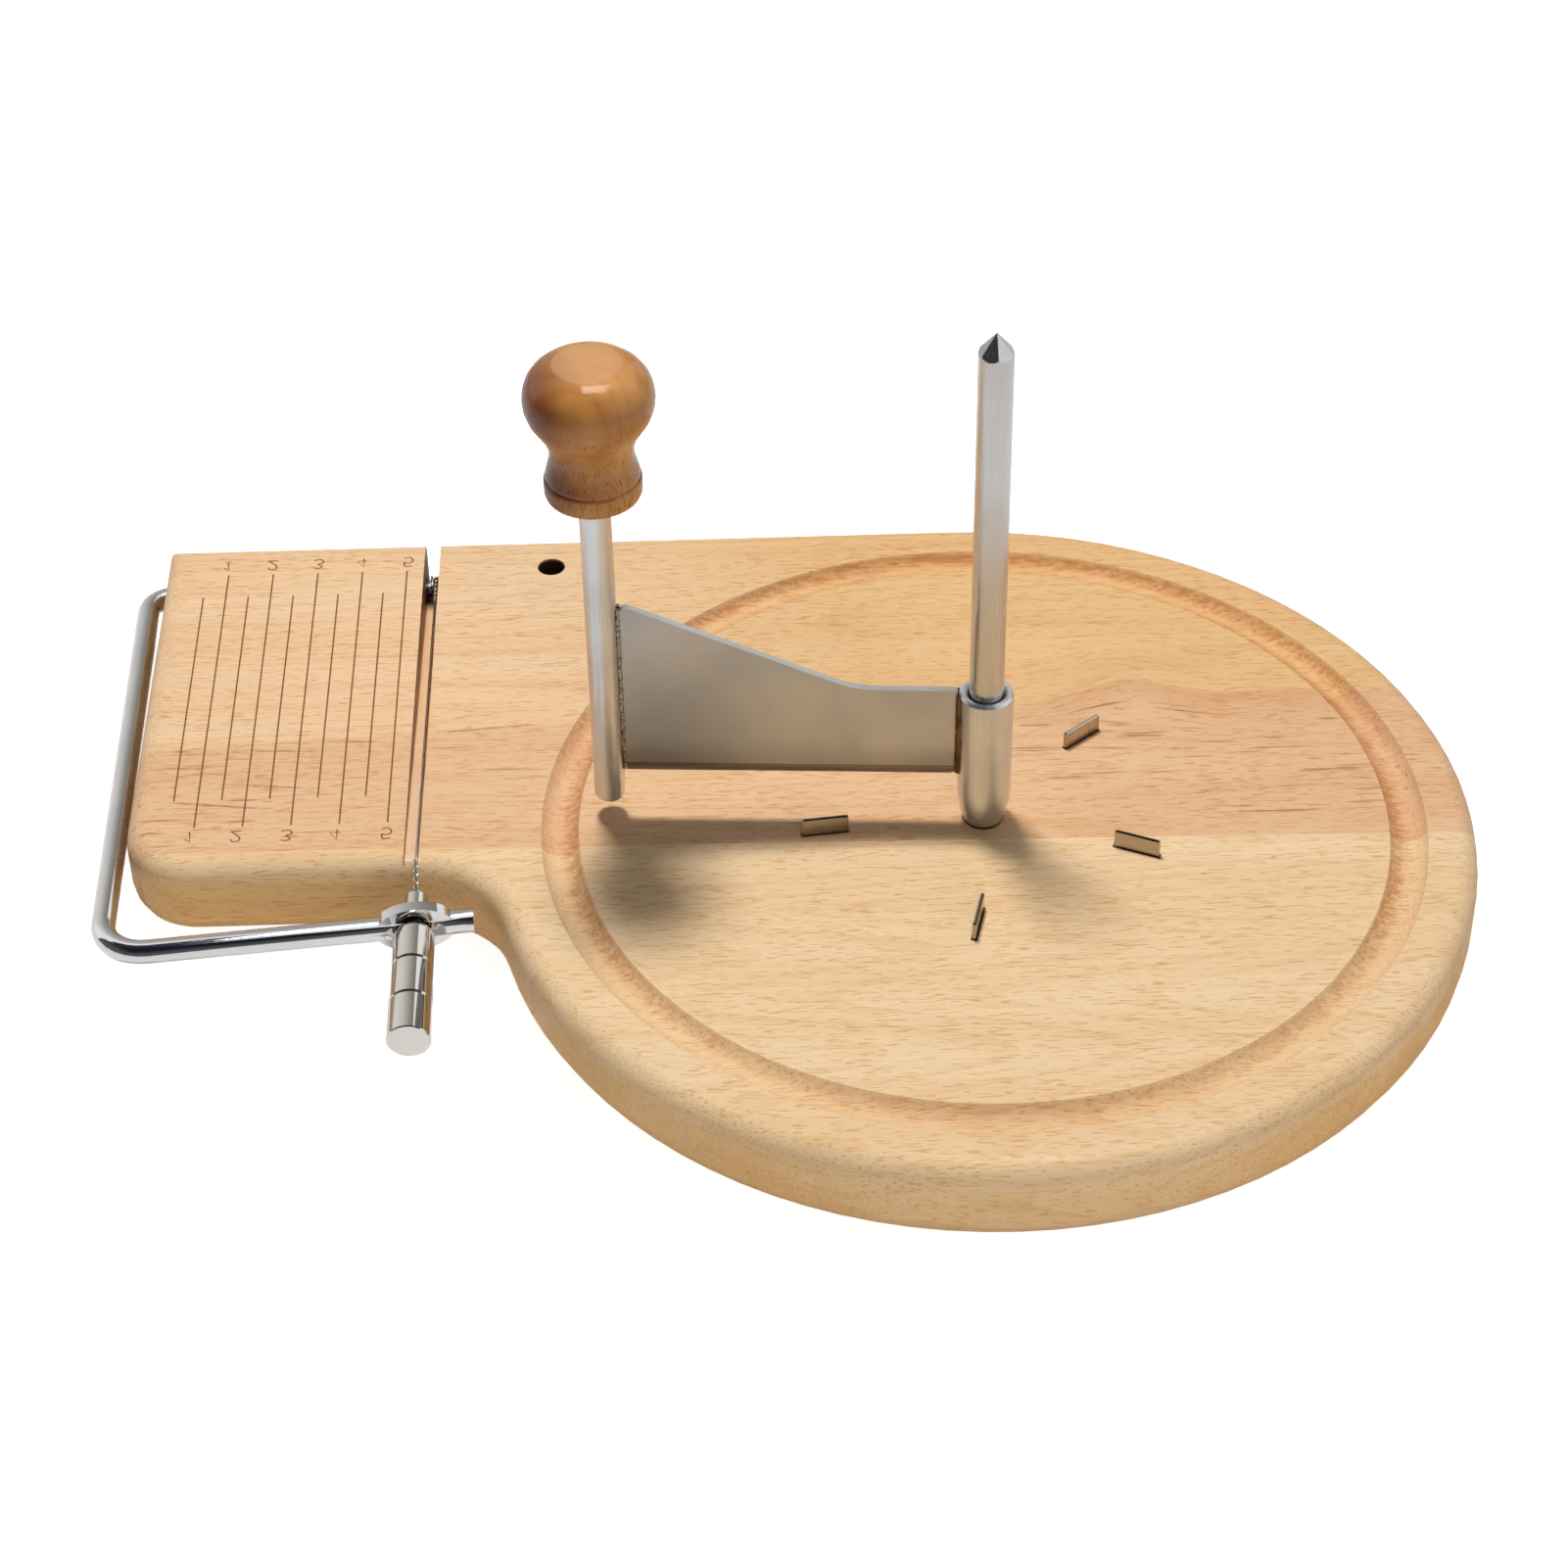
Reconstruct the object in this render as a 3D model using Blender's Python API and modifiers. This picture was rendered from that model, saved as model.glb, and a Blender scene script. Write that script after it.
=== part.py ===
"""Beech cheese board with a curl scraper on a spindle and a wire slicer on a swinging bow.

The origin lies on the spindle's axis, on the board's underside. X runs to the right along
the wood's grain, Y runs to the back edge and Z runs up. Lengths are in metres.
"""

import math

import bmesh
import bpy
from mathutils import Matrix, Vector

# %% Driving dimensions

GAP = 0.0003
WELD = 0.00001
OVERRUN = 0.003
AXIS_MARK = 0.02

BOARD_THICKNESS = 0.022
DISC_RADIUS = 0.1017
PLATFORM_REACH = 0.1777
PLATFORM_FRONT = 0.0089
TOP_ROUND = 0.0044
BOTTOM_ROUND = 0.0096
CORNER_RADIUS = 0.0140
NECK_RADIUS = 0.0220

GROOVE_INSET = 0.01425
GROOVE_WIDTH = 0.0079
GROOVE_DEPTH = 0.0026

HANG_HOLE_RADIUS = 0.00305
HANG_HOLE_FROM_BACK = 0.0120
HANG_HOLE_FROM_SLOT = 0.02695

SLOT_FROM_DISC = 0.01605
SLOT_WIDTH = 0.0034
SLOT_DEPTH_BACK = 0.0085
SLOT_DEPTH_FRONT = 0.0012
POCKET_AHEAD = 0.0070
POCKET_BELOW = 0.0050

PIVOT_FROM_BACK = 0.0062
PIVOT_DEPTH = 0.0100
PIVOT_SEAT = 0.0080

SPINDLE_RADIUS = 0.0035
SPINDLE_HEIGHT = 0.1190
SPINDLE_TIP_HEIGHT = 0.0042
SPINDLE_TIP_SIDES = 6
SPINDLE_TIP_TURN = math.radians(-80.0)
STUB_RADIUS = 0.00295
STUB_LENGTH = 0.0115
STUB_CHAMFER = 0.0005
INSERT_RADIUS = 0.0040
INSERT_LENGTH = 0.0120
INSERT_SINK = 0.0010

PRONG_ANGLES = (47.0, 118.0, -173.4, -95.7, -21.7)
PRONG_YAWS = (-8.0, 0.0, 0.0, -8.0, -2.0)
PRONG_DISTANCE = 0.0282
PRONG_LENGTH = 0.0096
PRONG_THICKNESS = 0.0008
PRONG_HEIGHT = 0.0042
PRONG_SINK = 0.0080
PRONG_EDGE = 0.0003

SCRAPER_TURN = math.radians(176.5)
SLEEVE_WALL = 0.0017
SLEEVE_HEIGHT = 0.0328
SLEEVE_TAPER_HEIGHT = 0.0087
SLEEVE_TAPER_DEPTH = 0.0014
SLEEVE_CHAMFER = 0.0005

BLADE_THICKNESS = 0.0015
BLADE_CLEARANCE = 0.0115
BLADE_LOW = 0.0337
BLADE_HIGH = 0.0546
BLADE_KNEE = 0.0263
BLADE_KNEE_RADIUS = 0.0210
BLADE_CORNER_RADIUS = 0.0016
EDGE_HEIGHT = 0.0024
EDGE_DEPTH = 0.0009
EDGE_CUTTER = 0.0080

CRANK_DISTANCE = 0.0770
CRANK_RADIUS = 0.0032
CRANK_CLEARANCE = 0.0051
CRANK_END_ROUND = 0.0008
KNOB_CLEARANCE = 0.0814
KNOB_HEIGHT = 0.0303
KNOB_BASE_RADIUS = 0.0096
KNOB_BASE_HEIGHT = 0.0036
KNOB_BASE_ROUND = 0.0012
KNOB_NECK_RADIUS = 0.0082
KNOB_NECK_HEIGHT = 0.0101
KNOB_HEAD_RADIUS = 0.0128
KNOB_HEAD_HEIGHT = 0.0221
KNOB_BORE_DEPTH = 0.0200
KNOB_DOME = ((0.0, 0.0), (0.36, 0.02), (0.68, 0.12), (0.91, 0.44))
KNOB_SWELL = ((1.0, 1.0), (0.80, 0.68), (0.24, 0.33), (0.0, 0.0))
KNOB_FLARE = (0.6, 1.4)

BOW_RADIUS = 0.0025
BOW_LIFT = math.radians(2.0)
BOW_SIDE_GAP = 0.0022
BOW_FRONT_GAP = 0.0201
BOW_SIDE_LEAN = math.radians(1.07)
BOW_ARM_LEAN = math.radians(6.15)
BOW_BEND_START = 0.0011
BOW_FRONT_BEND = 0.0090
BOW_STUB = 0.0118
EYE_OFFSET = 0.00095
EYE_WIDTH = 0.0164
EYE_HEIGHT = 0.0104
EYE_THICKNESS = 0.0028
EYE_SCOOP_RADIUS = 0.0190
EYE_SCOOP_BITE = 0.0001

PIN_RADIUS = 0.00245
PIN_TILT = math.radians(5.5)
PIN_REACH_IN = 0.0079
PIN_REACH_OUT = 0.0168
PIN_CHAMFER = 0.0004
PIN_HOLE_RADIUS = 0.0009
PIN_HOLE_DEPTH = 0.0100
HANDLE_LENGTH = 0.0294
HANDLE_INNER_RADIUS = 0.00415
HANDLE_OUTER_RADIUS = 0.0045
HANDLE_ROUND = 0.0012
HANDLE_END_CHAMFER = 0.0002
HANDLE_GROOVES = 2
HANDLE_GROOVE_DEPTH = 0.00035

WIRE_RADIUS = 0.0003
WIRE_TURNS = 1.15
WIRE_TURN_STEPS = 12
WIRE_PITCH = 0.0011
WIRE_SHIFT = 0.0005
WIRE_EDGE_INSET = 0.0009
WIRE_EDGE_DEPTH = 0.0005
WIRE_EDGE_BEND = 0.0015
WIRE_PIN_BEND = 0.0010
WIRE_PIN_ENTRY = 0.0010
WIRE_PIN_SEAT = 0.0050

# %% Places worked out from the dimensions

BOARD_TOP = BOARD_THICKNESS
SLOT_X = -DISC_RADIUS - SLOT_FROM_DISC
PIVOT_Y = DISC_RADIUS - PIVOT_FROM_BACK
PIVOT_Z = BOARD_TOP - PIVOT_DEPTH
POCKET_FRONT = PIVOT_Y - POCKET_AHEAD
BOW_INNER_END = SLOT_X + SLOT_WIDTH / 2 + PIVOT_SEAT
INSERT_TOP = BOARD_TOP - INSERT_SINK
SLEEVE_BORE_RADIUS = SPINDLE_RADIUS + GAP
SLEEVE_RADIUS = SLEEVE_BORE_RADIUS + SLEEVE_WALL
EYE_X = SLOT_X + EYE_OFFSET

# %% Collections and materials

for old_object in list(bpy.data.objects):
    bpy.data.objects.remove(old_object)

PARTS = bpy.data.collections.new("cheese_grater")
CUTTERS = bpy.data.collections.new("cutters")
for collection in (PARTS, CUTTERS):
    bpy.context.scene.collection.children.link(collection)


def new_material(name, color, roughness, metallic):
    """A plain surface of one colour."""
    material = bpy.data.materials.new(name)
    material.use_nodes = True
    shader = material.node_tree.nodes["Principled BSDF"]
    shader.inputs["Base Color"].default_value = (*color, 1.0)
    shader.inputs["Roughness"].default_value = roughness
    shader.inputs["Metallic"].default_value = metallic
    material.diffuse_color = (*color, 1.0)
    return material


BEECH = (0.78, 0.54, 0.31)
OILED_BEECH = (0.52, 0.27, 0.11)
STEEL = (0.56, 0.53, 0.49)
BRIGHT = (0.72, 0.72, 0.73)
BRASS = (0.70, 0.51, 0.22)

# %% Shapes


def add(name, data, material=None, place=Matrix(), parent=None, cutter=False):
    """Put a mesh, a curve or an empty into its collection, at its place under its parent."""
    new_object = bpy.data.objects.new(name, data)
    collection = CUTTERS if cutter else PARTS
    collection.objects.link(new_object)
    new_object.parent = parent
    new_object.matrix_local = place
    if material:
        data.materials.append(material)
    if cutter:
        new_object.hide_render = True
        new_object.display_type = "WIRE"
    return new_object


def axis_empty(name, place, parent=None):
    """An empty that marks the axis on which its children move."""
    empty = add(name, None, place=place, parent=parent)
    empty.empty_display_size = AXIS_MARK
    bpy.context.view_layer.update()
    return empty


def round_off(mesh, angle=math.radians(30.0)):
    """Shade a mesh smooth, except over its sharp edges."""
    mesh.shade_smooth()
    mesh.set_sharp_from_angle(angle=angle)


def box(name, size, **options):
    """A box of a given size about its own centre."""
    bm = bmesh.new()
    bmesh.ops.create_cube(bm, size=1.0, matrix=Matrix.Diagonal((*size, 1.0)))
    mesh = bpy.data.meshes.new(name)
    bm.to_mesh(mesh)
    bm.free()
    return add(name, mesh, **options)


def cone(name, low_radius, high_radius, depth, sides=32, stretch=(1.0, 1.0), **options):
    """A cylinder or a cone along Z, about its own centre, stretched in X and Y."""
    bm = bmesh.new()
    bmesh.ops.create_cone(
        bm,
        cap_ends=True,
        segments=sides,
        radius1=low_radius,
        radius2=high_radius,
        depth=depth,
        matrix=Matrix.Diagonal((*stretch, 1.0, 1.0)),
    )
    bmesh.ops.remove_doubles(bm, verts=bm.verts, dist=WELD)
    mesh = bpy.data.meshes.new(name)
    bm.to_mesh(mesh)
    bm.free()
    return add(name, mesh, **options)


def turned(name, profile, sides=48, closed=False, **options):
    """Turn a profile of (radius, height) points round Z. It runs down the outer side."""
    count = len(profile)
    edges = [(index, index + 1) for index in range(count - 1)]
    if closed:
        edges.append((count - 1, 0))
    mesh = bpy.data.meshes.new(name)
    mesh.from_pydata([(radius, 0.0, height) for radius, height in profile], edges, [])
    new_object = add(name, mesh, **options)
    screw = new_object.modifiers.new("turn", "SCREW")
    screw.axis = "Z"
    screw.steps = sides
    screw.render_steps = sides
    screw.use_merge_vertices = True
    screw.merge_threshold = WELD
    screw.use_smooth_shade = True
    return new_object


def new_curve(name, points, dimensions, cyclic=False):
    """A curve of one straight-sided spline."""
    curve = bpy.data.curves.new(name, "CURVE")
    curve.dimensions = dimensions
    spline = curve.splines.new("POLY")
    spline.points.add(len(points) - 1)
    for spline_point, point in zip(spline.points, points):
        spline_point.co = (*Vector(point).to_3d(), 1.0)
    spline.use_cyclic_u = cyclic
    return curve


def to_mesh(source):
    """Replace a curve object by a mesh object with the same name and place."""
    bpy.context.view_layer.update()
    depsgraph = bpy.context.evaluated_depsgraph_get()
    mesh = bpy.data.meshes.new_from_object(source.evaluated_get(depsgraph))
    bm = bmesh.new()
    bm.from_mesh(mesh)
    bmesh.ops.remove_doubles(bm, verts=bm.verts, dist=WELD)
    bm.to_mesh(mesh)
    bm.free()
    name = source.name
    parent = source.parent
    matrix = source.matrix_world.copy()
    cutter = source.hide_render
    bpy.data.objects.remove(source)
    mesh_object = add(name, mesh, parent=parent, cutter=cutter)
    mesh_object.matrix_world = matrix
    return mesh_object


def plate(name, outline, thickness, **options):
    """An outline of (x, y) points, filled and made thick to both sides of its plane."""
    curve = new_curve(name, outline, "2D", cyclic=True)
    curve.fill_mode = "BOTH"
    curve.extrude = thickness / 2
    return to_mesh(add(name, curve, **options))


def rod(name, path, radius, resolution, **options):
    """A round rod along a path."""
    curve = new_curve(name, path, "3D")
    curve.bevel_depth = radius
    curve.bevel_resolution = resolution
    curve.use_fill_caps = True
    rod_object = to_mesh(add(name, curve, **options))
    round_off(rod_object.data, math.radians(60.0))
    return rod_object


def arc(center, radius, start, end, steps):
    """Points on an arc in a plane, from one angle in degrees to another."""
    angles = [math.radians(start + (end - start) * step / steps) for step in range(steps + 1)]
    return [(center[0] + radius * math.cos(a), center[1] + radius * math.sin(a)) for a in angles]


def filleted(corners, radii, steps=8):
    """A path through corner points, each inner corner rounded with its own radius."""
    points = [Vector(corner).to_3d() for corner in corners]
    path = [points[0]]
    for before, corner, after, radius in zip(points, points[1:], points[2:], radii):
        back = (before - corner).normalized()
        ahead = (after - corner).normalized()
        half_angle = back.angle(ahead) / 2
        center = corner + (back + ahead).normalized() * radius / math.sin(half_angle)
        start = (corner + back * radius / math.tan(half_angle) - center).normalized()
        end = (corner + ahead * radius / math.tan(half_angle) - center).normalized()
        path += [center + start.slerp(end, step / steps) * radius for step in range(steps + 1)]
    path.append(points[-1])
    return path


def smoothed(points, steps=4):
    """A smooth line through (radius, height) points, by Catmull-Rom spans."""
    knots = [Vector(point) for point in points]
    knots = [2 * knots[0] - knots[1], *knots, 2 * knots[-1] - knots[-2]]
    line = []
    for a, b, c, d in zip(knots, knots[1:], knots[2:], knots[3:]):
        for step in range(steps):
            t = step / steps
            line.append(
                (
                    2 * b
                    + (c - a) * t
                    + (2 * a - 5 * b + 4 * c - d) * t**2
                    + (3 * b - a - 3 * c + d) * t**3
                )
                / 2
            )
    line.append(knots[-2])
    return [tuple(point) for point in line]


def boolean(target, other, operation="DIFFERENCE"):
    """Cut, join or trim one object with another."""
    modifier = target.modifiers.new(f"{operation.lower()} {other.name}", "BOOLEAN")
    modifier.operation = operation
    modifier.solver = "EXACT"
    modifier.object = other


# %% Board


def board_outline():
    """The round disc, the neck, the straight platform and the straight back edge."""
    neck_y = -PLATFORM_FRONT - NECK_RADIUS
    neck_x = -math.sqrt((DISC_RADIUS + NECK_RADIUS) ** 2 - neck_y**2)
    neck_angle = math.degrees(math.atan2(-neck_y, -neck_x))
    left = -PLATFORM_REACH
    outline = [(left, DISC_RADIUS)]
    corner_center = (left + CORNER_RADIUS, CORNER_RADIUS - PLATFORM_FRONT)
    outline += arc(corner_center, CORNER_RADIUS, 180, 270, 10)
    outline += arc((neck_x, neck_y), NECK_RADIUS, 90, neck_angle, 10)
    outline += arc((0.0, 0.0), DISC_RADIUS, 180 + neck_angle, 450, 64)[1:]
    return outline


def round_rim(mesh, height, radius, steps):
    """Round the rim of a plate's flat face that lies at a height."""
    bm = bmesh.new()
    bm.from_mesh(mesh)
    level = [face for face in bm.faces if all(abs(v.co.z - height) < WELD for v in face.verts)]
    bmesh.ops.dissolve_faces(bm, faces=level)
    rim = [edge for edge in bm.edges if all(abs(v.co.z - height) < WELD for v in edge.verts)]
    bmesh.ops.bevel(
        bm,
        geom=rim,
        offset=radius,
        offset_type="OFFSET",
        segments=steps,
        profile=0.5,
        affect="EDGES",
    )
    bm.to_mesh(mesh)
    bm.free()


def juice_groove():
    """A ring with the groove's round section, raised so that it cuts to the groove's depth."""
    ring = ((GROOVE_WIDTH / 2) ** 2 + GROOVE_DEPTH**2) / (2 * GROOVE_DEPTH)
    center = (DISC_RADIUS - GROOVE_INSET, BOARD_TOP + ring - GROOVE_DEPTH)
    profile = arc(center, ring, 0, -360, 20)[:-1]
    return turned("groove_cutter", profile, sides=96, closed=True, cutter=True)


def wire_slot():
    """The slot for the cutting wire: its floor falls from the front edge to the pocket."""
    front = -PLATFORM_FRONT - OVERRUN
    back = POCKET_FRONT + OVERRUN
    fall = (SLOT_DEPTH_BACK - SLOT_DEPTH_FRONT) / (POCKET_FRONT + PLATFORM_FRONT)
    above = BOARD_TOP + OVERRUN
    outline = [
        (front, BOARD_TOP - SLOT_DEPTH_FRONT + fall * OVERRUN),
        (back, BOARD_TOP - SLOT_DEPTH_BACK - fall * OVERRUN),
        (back, above),
        (front, above),
    ]
    place = Matrix.Translation((SLOT_X, 0, 0)) @ Matrix.Rotation(math.pi / 2, 4, "Z")
    place = place @ Matrix.Rotation(math.pi / 2, 4, "X")
    return plate("slot_cutter", outline, SLOT_WIDTH, place=place, cutter=True)


def wire_pocket():
    """The deep end of the slot, open to the back, where the wire loops round the bow."""
    floor = PIVOT_Z - POCKET_BELOW
    length = DISC_RADIUS + OVERRUN - POCKET_FRONT
    height = BOARD_TOP + OVERRUN - floor
    center = (SLOT_X, POCKET_FRONT + length / 2, floor + height / 2)
    size = (SLOT_WIDTH, length, height)
    return box("pocket_cutter", size, place=Matrix.Translation(center), cutter=True)


def pivot_bore():
    """The blind bore along X that carries the bow."""
    start = -PLATFORM_REACH - OVERRUN
    length = BOW_INNER_END + GAP - start
    place = Matrix.Translation((start + length / 2, PIVOT_Y, PIVOT_Z))
    place = place @ Matrix.Rotation(math.pi / 2, 4, "Y")
    radius = BOW_RADIUS + GAP
    return cone("pivot_cutter", radius, radius, length, place=place, cutter=True)


def hang_hole():
    """The hole through the platform for hanging the board up."""
    x = SLOT_X + HANG_HOLE_FROM_SLOT
    place = Matrix.Translation((x, DISC_RADIUS - HANG_HOLE_FROM_BACK, BOARD_THICKNESS / 2))
    depth = BOARD_THICKNESS + 2 * OVERRUN
    radius = HANG_HOLE_RADIUS
    return cone("hang_hole_cutter", radius, radius, depth, place=place, cutter=True)


def insert_hole():
    """The blind hole in the middle of the disc for the threaded insert."""
    floor = INSERT_TOP - INSERT_LENGTH - GAP
    height = BOARD_TOP + OVERRUN - floor
    place = Matrix.Translation((0, 0, floor + height / 2))
    radius = INSERT_RADIUS + GAP
    return cone("insert_cutter", radius, radius, height, place=place, cutter=True)


def prong_place(angle, yaw, height):
    """The middle of a prong at an angle round the spindle, turned a little by its yaw."""
    turn = Matrix.Rotation(math.radians(angle), 4, "Z")
    out = Matrix.Translation((PRONG_DISTANCE + PRONG_LENGTH / 2, 0, height))
    return turn @ out @ Matrix.Rotation(math.radians(yaw), 4, "Z")


def prong_pocket(number, angle, yaw):
    """The pocket in which a prong sits with the usual gap."""
    depth = PRONG_SINK + GAP
    size = (PRONG_LENGTH + 2 * GAP, PRONG_THICKNESS + 2 * GAP, depth + OVERRUN)
    place = prong_place(angle, yaw, BOARD_TOP - depth + size[2] / 2)
    return box(f"prong_{number}_cutter", size, place=place, cutter=True)


def make_board():
    """The glued-up beech board with all that is cut into it."""
    beech = new_material("beech", BEECH, 0.5, 0.0)
    middle = Matrix.Translation((0, 0, BOARD_THICKNESS / 2))
    board = plate("board", board_outline(), BOARD_THICKNESS, material=beech, place=middle)
    round_rim(board.data, BOARD_THICKNESS / 2, TOP_ROUND, 4)
    round_rim(board.data, -BOARD_THICKNESS / 2, BOTTOM_ROUND, 5)
    round_off(board.data)
    boolean(board, juice_groove())
    boolean(board, wire_slot())
    boolean(board, wire_pocket())
    boolean(board, pivot_bore())
    boolean(board, hang_hole())
    boolean(board, insert_hole())
    for number, (angle, yaw) in enumerate(zip(PRONG_ANGLES, PRONG_YAWS), start=1):
        boolean(board, prong_pocket(number, angle, yaw))


# %% Spindle and prongs


def make_insert():
    """The brass bush that is pressed into the board and holds the spindle's stub."""
    brass = new_material("insert_brass", BRASS, 0.35, 1.0)
    bore = STUB_RADIUS + GAP
    bottom = INSERT_TOP - INSERT_LENGTH
    profile = [(INSERT_RADIUS, INSERT_TOP), (INSERT_RADIUS, bottom), (bore, bottom), (bore, INSERT_TOP)]
    turned("spindle_insert", profile, sides=32, closed=True, material=brass)


def make_spindle():
    """The upright that carries the cheese and the scraper, with a six-sided point."""
    steel = new_material("spindle_steel", STEEL, 0.3, 1.0)
    top = BOARD_TOP + SPINDLE_HEIGHT
    shoulder = INSERT_TOP + GAP
    bottom = shoulder - STUB_LENGTH
    profile = [
        (0.0, top),
        (SPINDLE_RADIUS, top),
        (SPINDLE_RADIUS, shoulder),
        (STUB_RADIUS, shoulder),
        (STUB_RADIUS, bottom + STUB_CHAMFER),
        (STUB_RADIUS - STUB_CHAMFER, bottom),
        (0.0, bottom),
    ]
    spindle = turned("spindle", profile, sides=48, material=steel)
    length = top - bottom + OVERRUN
    base_radius = SPINDLE_RADIUS * length / SPINDLE_TIP_HEIGHT
    place = Matrix.Translation((0, 0, top - length / 2))
    place = place @ Matrix.Rotation(SPINDLE_TIP_TURN, 4, "Z")
    point = cone(
        "spindle_point_cutter",
        base_radius,
        0.0,
        length,
        sides=SPINDLE_TIP_SIDES,
        place=place,
        cutter=True,
    )
    boolean(spindle, point, "INTERSECT")


def make_prong(number, angle, yaw):
    """A thin steel prong that keeps the cheese from turning, with its top edges bevelled."""
    steel = new_material(f"prong_{number}_steel", STEEL, 0.25, 1.0)
    size = (PRONG_LENGTH, PRONG_THICKNESS, PRONG_HEIGHT + PRONG_SINK)
    place = prong_place(angle, yaw, BOARD_TOP - PRONG_SINK + size[2] / 2)
    prong = box(f"prong_{number}", size, material=steel, place=place)
    bm = bmesh.new()
    bm.from_mesh(prong.data)
    rim = [edge for edge in bm.edges if all(vertex.co.z > 0 for vertex in edge.verts)]
    bmesh.ops.bevel(bm, geom=rim, offset=PRONG_EDGE, segments=1, affect="EDGES")
    bm.to_mesh(prong.data)
    bm.free()


# %% Scraper


def make_sleeve():
    """The sleeve that rides up, down and round on the spindle."""
    steel = new_material("sleeve_steel", STEEL, 0.3, 1.0)
    bottom = BOARD_TOP + GAP
    top = bottom + SLEEVE_HEIGHT
    taper_radius = (SLEEVE_TAPER_HEIGHT**2 + SLEEVE_TAPER_DEPTH**2) / (2 * SLEEVE_TAPER_DEPTH)
    taper_angle = math.degrees(math.asin(SLEEVE_TAPER_HEIGHT / taper_radius))
    taper_center = (SLEEVE_RADIUS - taper_radius, bottom + SLEEVE_TAPER_HEIGHT)
    profile = [(SLEEVE_RADIUS - SLEEVE_CHAMFER, top), (SLEEVE_RADIUS, top - SLEEVE_CHAMFER)]
    profile += arc(taper_center, taper_radius, 0, -taper_angle, 6)
    profile += [
        (SLEEVE_BORE_RADIUS, bottom),
        (SLEEVE_BORE_RADIUS, top - SLEEVE_CHAMFER),
        (SLEEVE_BORE_RADIUS + SLEEVE_CHAMFER, top),
    ]
    turned("scraper_sleeve", profile, sides=48, closed=True, material=steel)


def blade_outline():
    """The blade from the sleeve to the crank rod: level, then rising in a straight slope."""
    inner = SLEEVE_RADIUS + GAP
    outer = CRANK_DISTANCE - CRANK_RADIUS - GAP
    bottom = BOARD_TOP + BLADE_CLEARANCE
    corners = [
        (outer, bottom),
        (outer, BOARD_TOP + BLADE_HIGH),
        (BLADE_KNEE, BOARD_TOP + BLADE_LOW),
        (inner, BOARD_TOP + BLADE_LOW),
        (inner, bottom),
    ]
    small = BLADE_CORNER_RADIUS / 2
    radii = (small, BLADE_CORNER_RADIUS, BLADE_KNEE_RADIUS, small, BLADE_CORNER_RADIUS)
    loop = [corners[-1], *corners, corners[0]]
    return [point.to_2d() for point in filleted(loop, radii, steps=6)[1:-1]]


def make_blade(scraper):
    """The scraper blade, upright and pointing out from the spindle, bevelled on its front."""
    steel = new_material("blade_steel", STEEL, 0.35, 1.0)
    upright = Matrix.Rotation(math.pi / 2, 4, "X")
    outline = blade_outline()
    blade = plate(
        "scraper_blade", outline, BLADE_THICKNESS, material=steel, place=upright, parent=scraper
    )
    bottom = BOARD_TOP + BLADE_CLEARANCE
    slant = math.atan2(EDGE_DEPTH, EDGE_HEIGHT)
    middle = Vector((0, BLADE_THICKNESS / 2 - EDGE_DEPTH / 2, bottom + EDGE_HEIGHT / 2))
    place = Matrix.Translation(middle + Vector((CRANK_DISTANCE / 2, 0, 0)))
    place = place @ Matrix.Rotation(-slant, 4, "X") @ Matrix.Translation((0, EDGE_CUTTER / 2, 0))
    size = (CRANK_DISTANCE, EDGE_CUTTER, EDGE_CUTTER)
    edge = box("blade_edge_cutter", size, place=place, parent=scraper, cutter=True)
    boolean(blade, edge)


def make_crank_rod(scraper):
    """The upright rod at the blade's outer end, rounded below and plugged into the knob."""
    steel = new_material("crank_steel", STEEL, 0.3, 1.0)
    bottom = BOARD_TOP + CRANK_CLEARANCE
    top = BOARD_TOP + KNOB_CLEARANCE + KNOB_BORE_DEPTH - GAP
    round_center = (CRANK_RADIUS - CRANK_END_ROUND, bottom + CRANK_END_ROUND)
    profile = [(0.0, top), (CRANK_RADIUS, top), *arc(round_center, CRANK_END_ROUND, 0, -90, 4)]
    profile.append((0.0, bottom))
    place = Matrix.Translation((CRANK_DISTANCE, 0, 0))
    turned("crank_rod", profile, sides=32, material=steel, place=place, parent=scraper)


def make_knob(scraper):
    """The turned wooden knob: a flat ring, a waist and a round head, bored from below."""
    wood = new_material("oiled_beech", OILED_BEECH, 0.35, 0.0)
    bottom = BOARD_TOP + KNOB_CLEARANCE
    neck = bottom + KNOB_NECK_HEIGHT
    head = bottom + KNOB_HEAD_HEIGHT
    top = bottom + KNOB_HEIGHT
    rise = head - neck
    dome = top - head
    swell = KNOB_HEAD_RADIUS - KNOB_NECK_RADIUS
    shape = [(KNOB_HEAD_RADIUS * across, top - dome * down) for across, down in KNOB_DOME]
    shape += [(KNOB_NECK_RADIUS + swell * out, neck + rise * up) for out, up in KNOB_SWELL]
    flare, flare_height = KNOB_FLARE
    flare_radius = KNOB_NECK_RADIUS + (KNOB_BASE_RADIUS - KNOB_NECK_RADIUS) * flare
    shape.append((flare_radius, bottom + KNOB_BASE_HEIGHT * flare_height))
    shape.append((KNOB_BASE_RADIUS, bottom + KNOB_BASE_HEIGHT))
    bore = CRANK_RADIUS + GAP
    base_center = (KNOB_BASE_RADIUS - KNOB_BASE_ROUND, bottom + KNOB_BASE_ROUND)
    profile = smoothed(shape, steps=3)
    profile += arc(base_center, KNOB_BASE_ROUND, 0, -90, 4)
    profile += [(bore, bottom), (bore, bottom + KNOB_BORE_DEPTH), (0.0, bottom + KNOB_BORE_DEPTH)]
    place = Matrix.Translation((CRANK_DISTANCE, 0, 0))
    turned("crank_knob", profile, sides=36, material=wood, place=place, parent=scraper)


# %% Wire slicer


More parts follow.
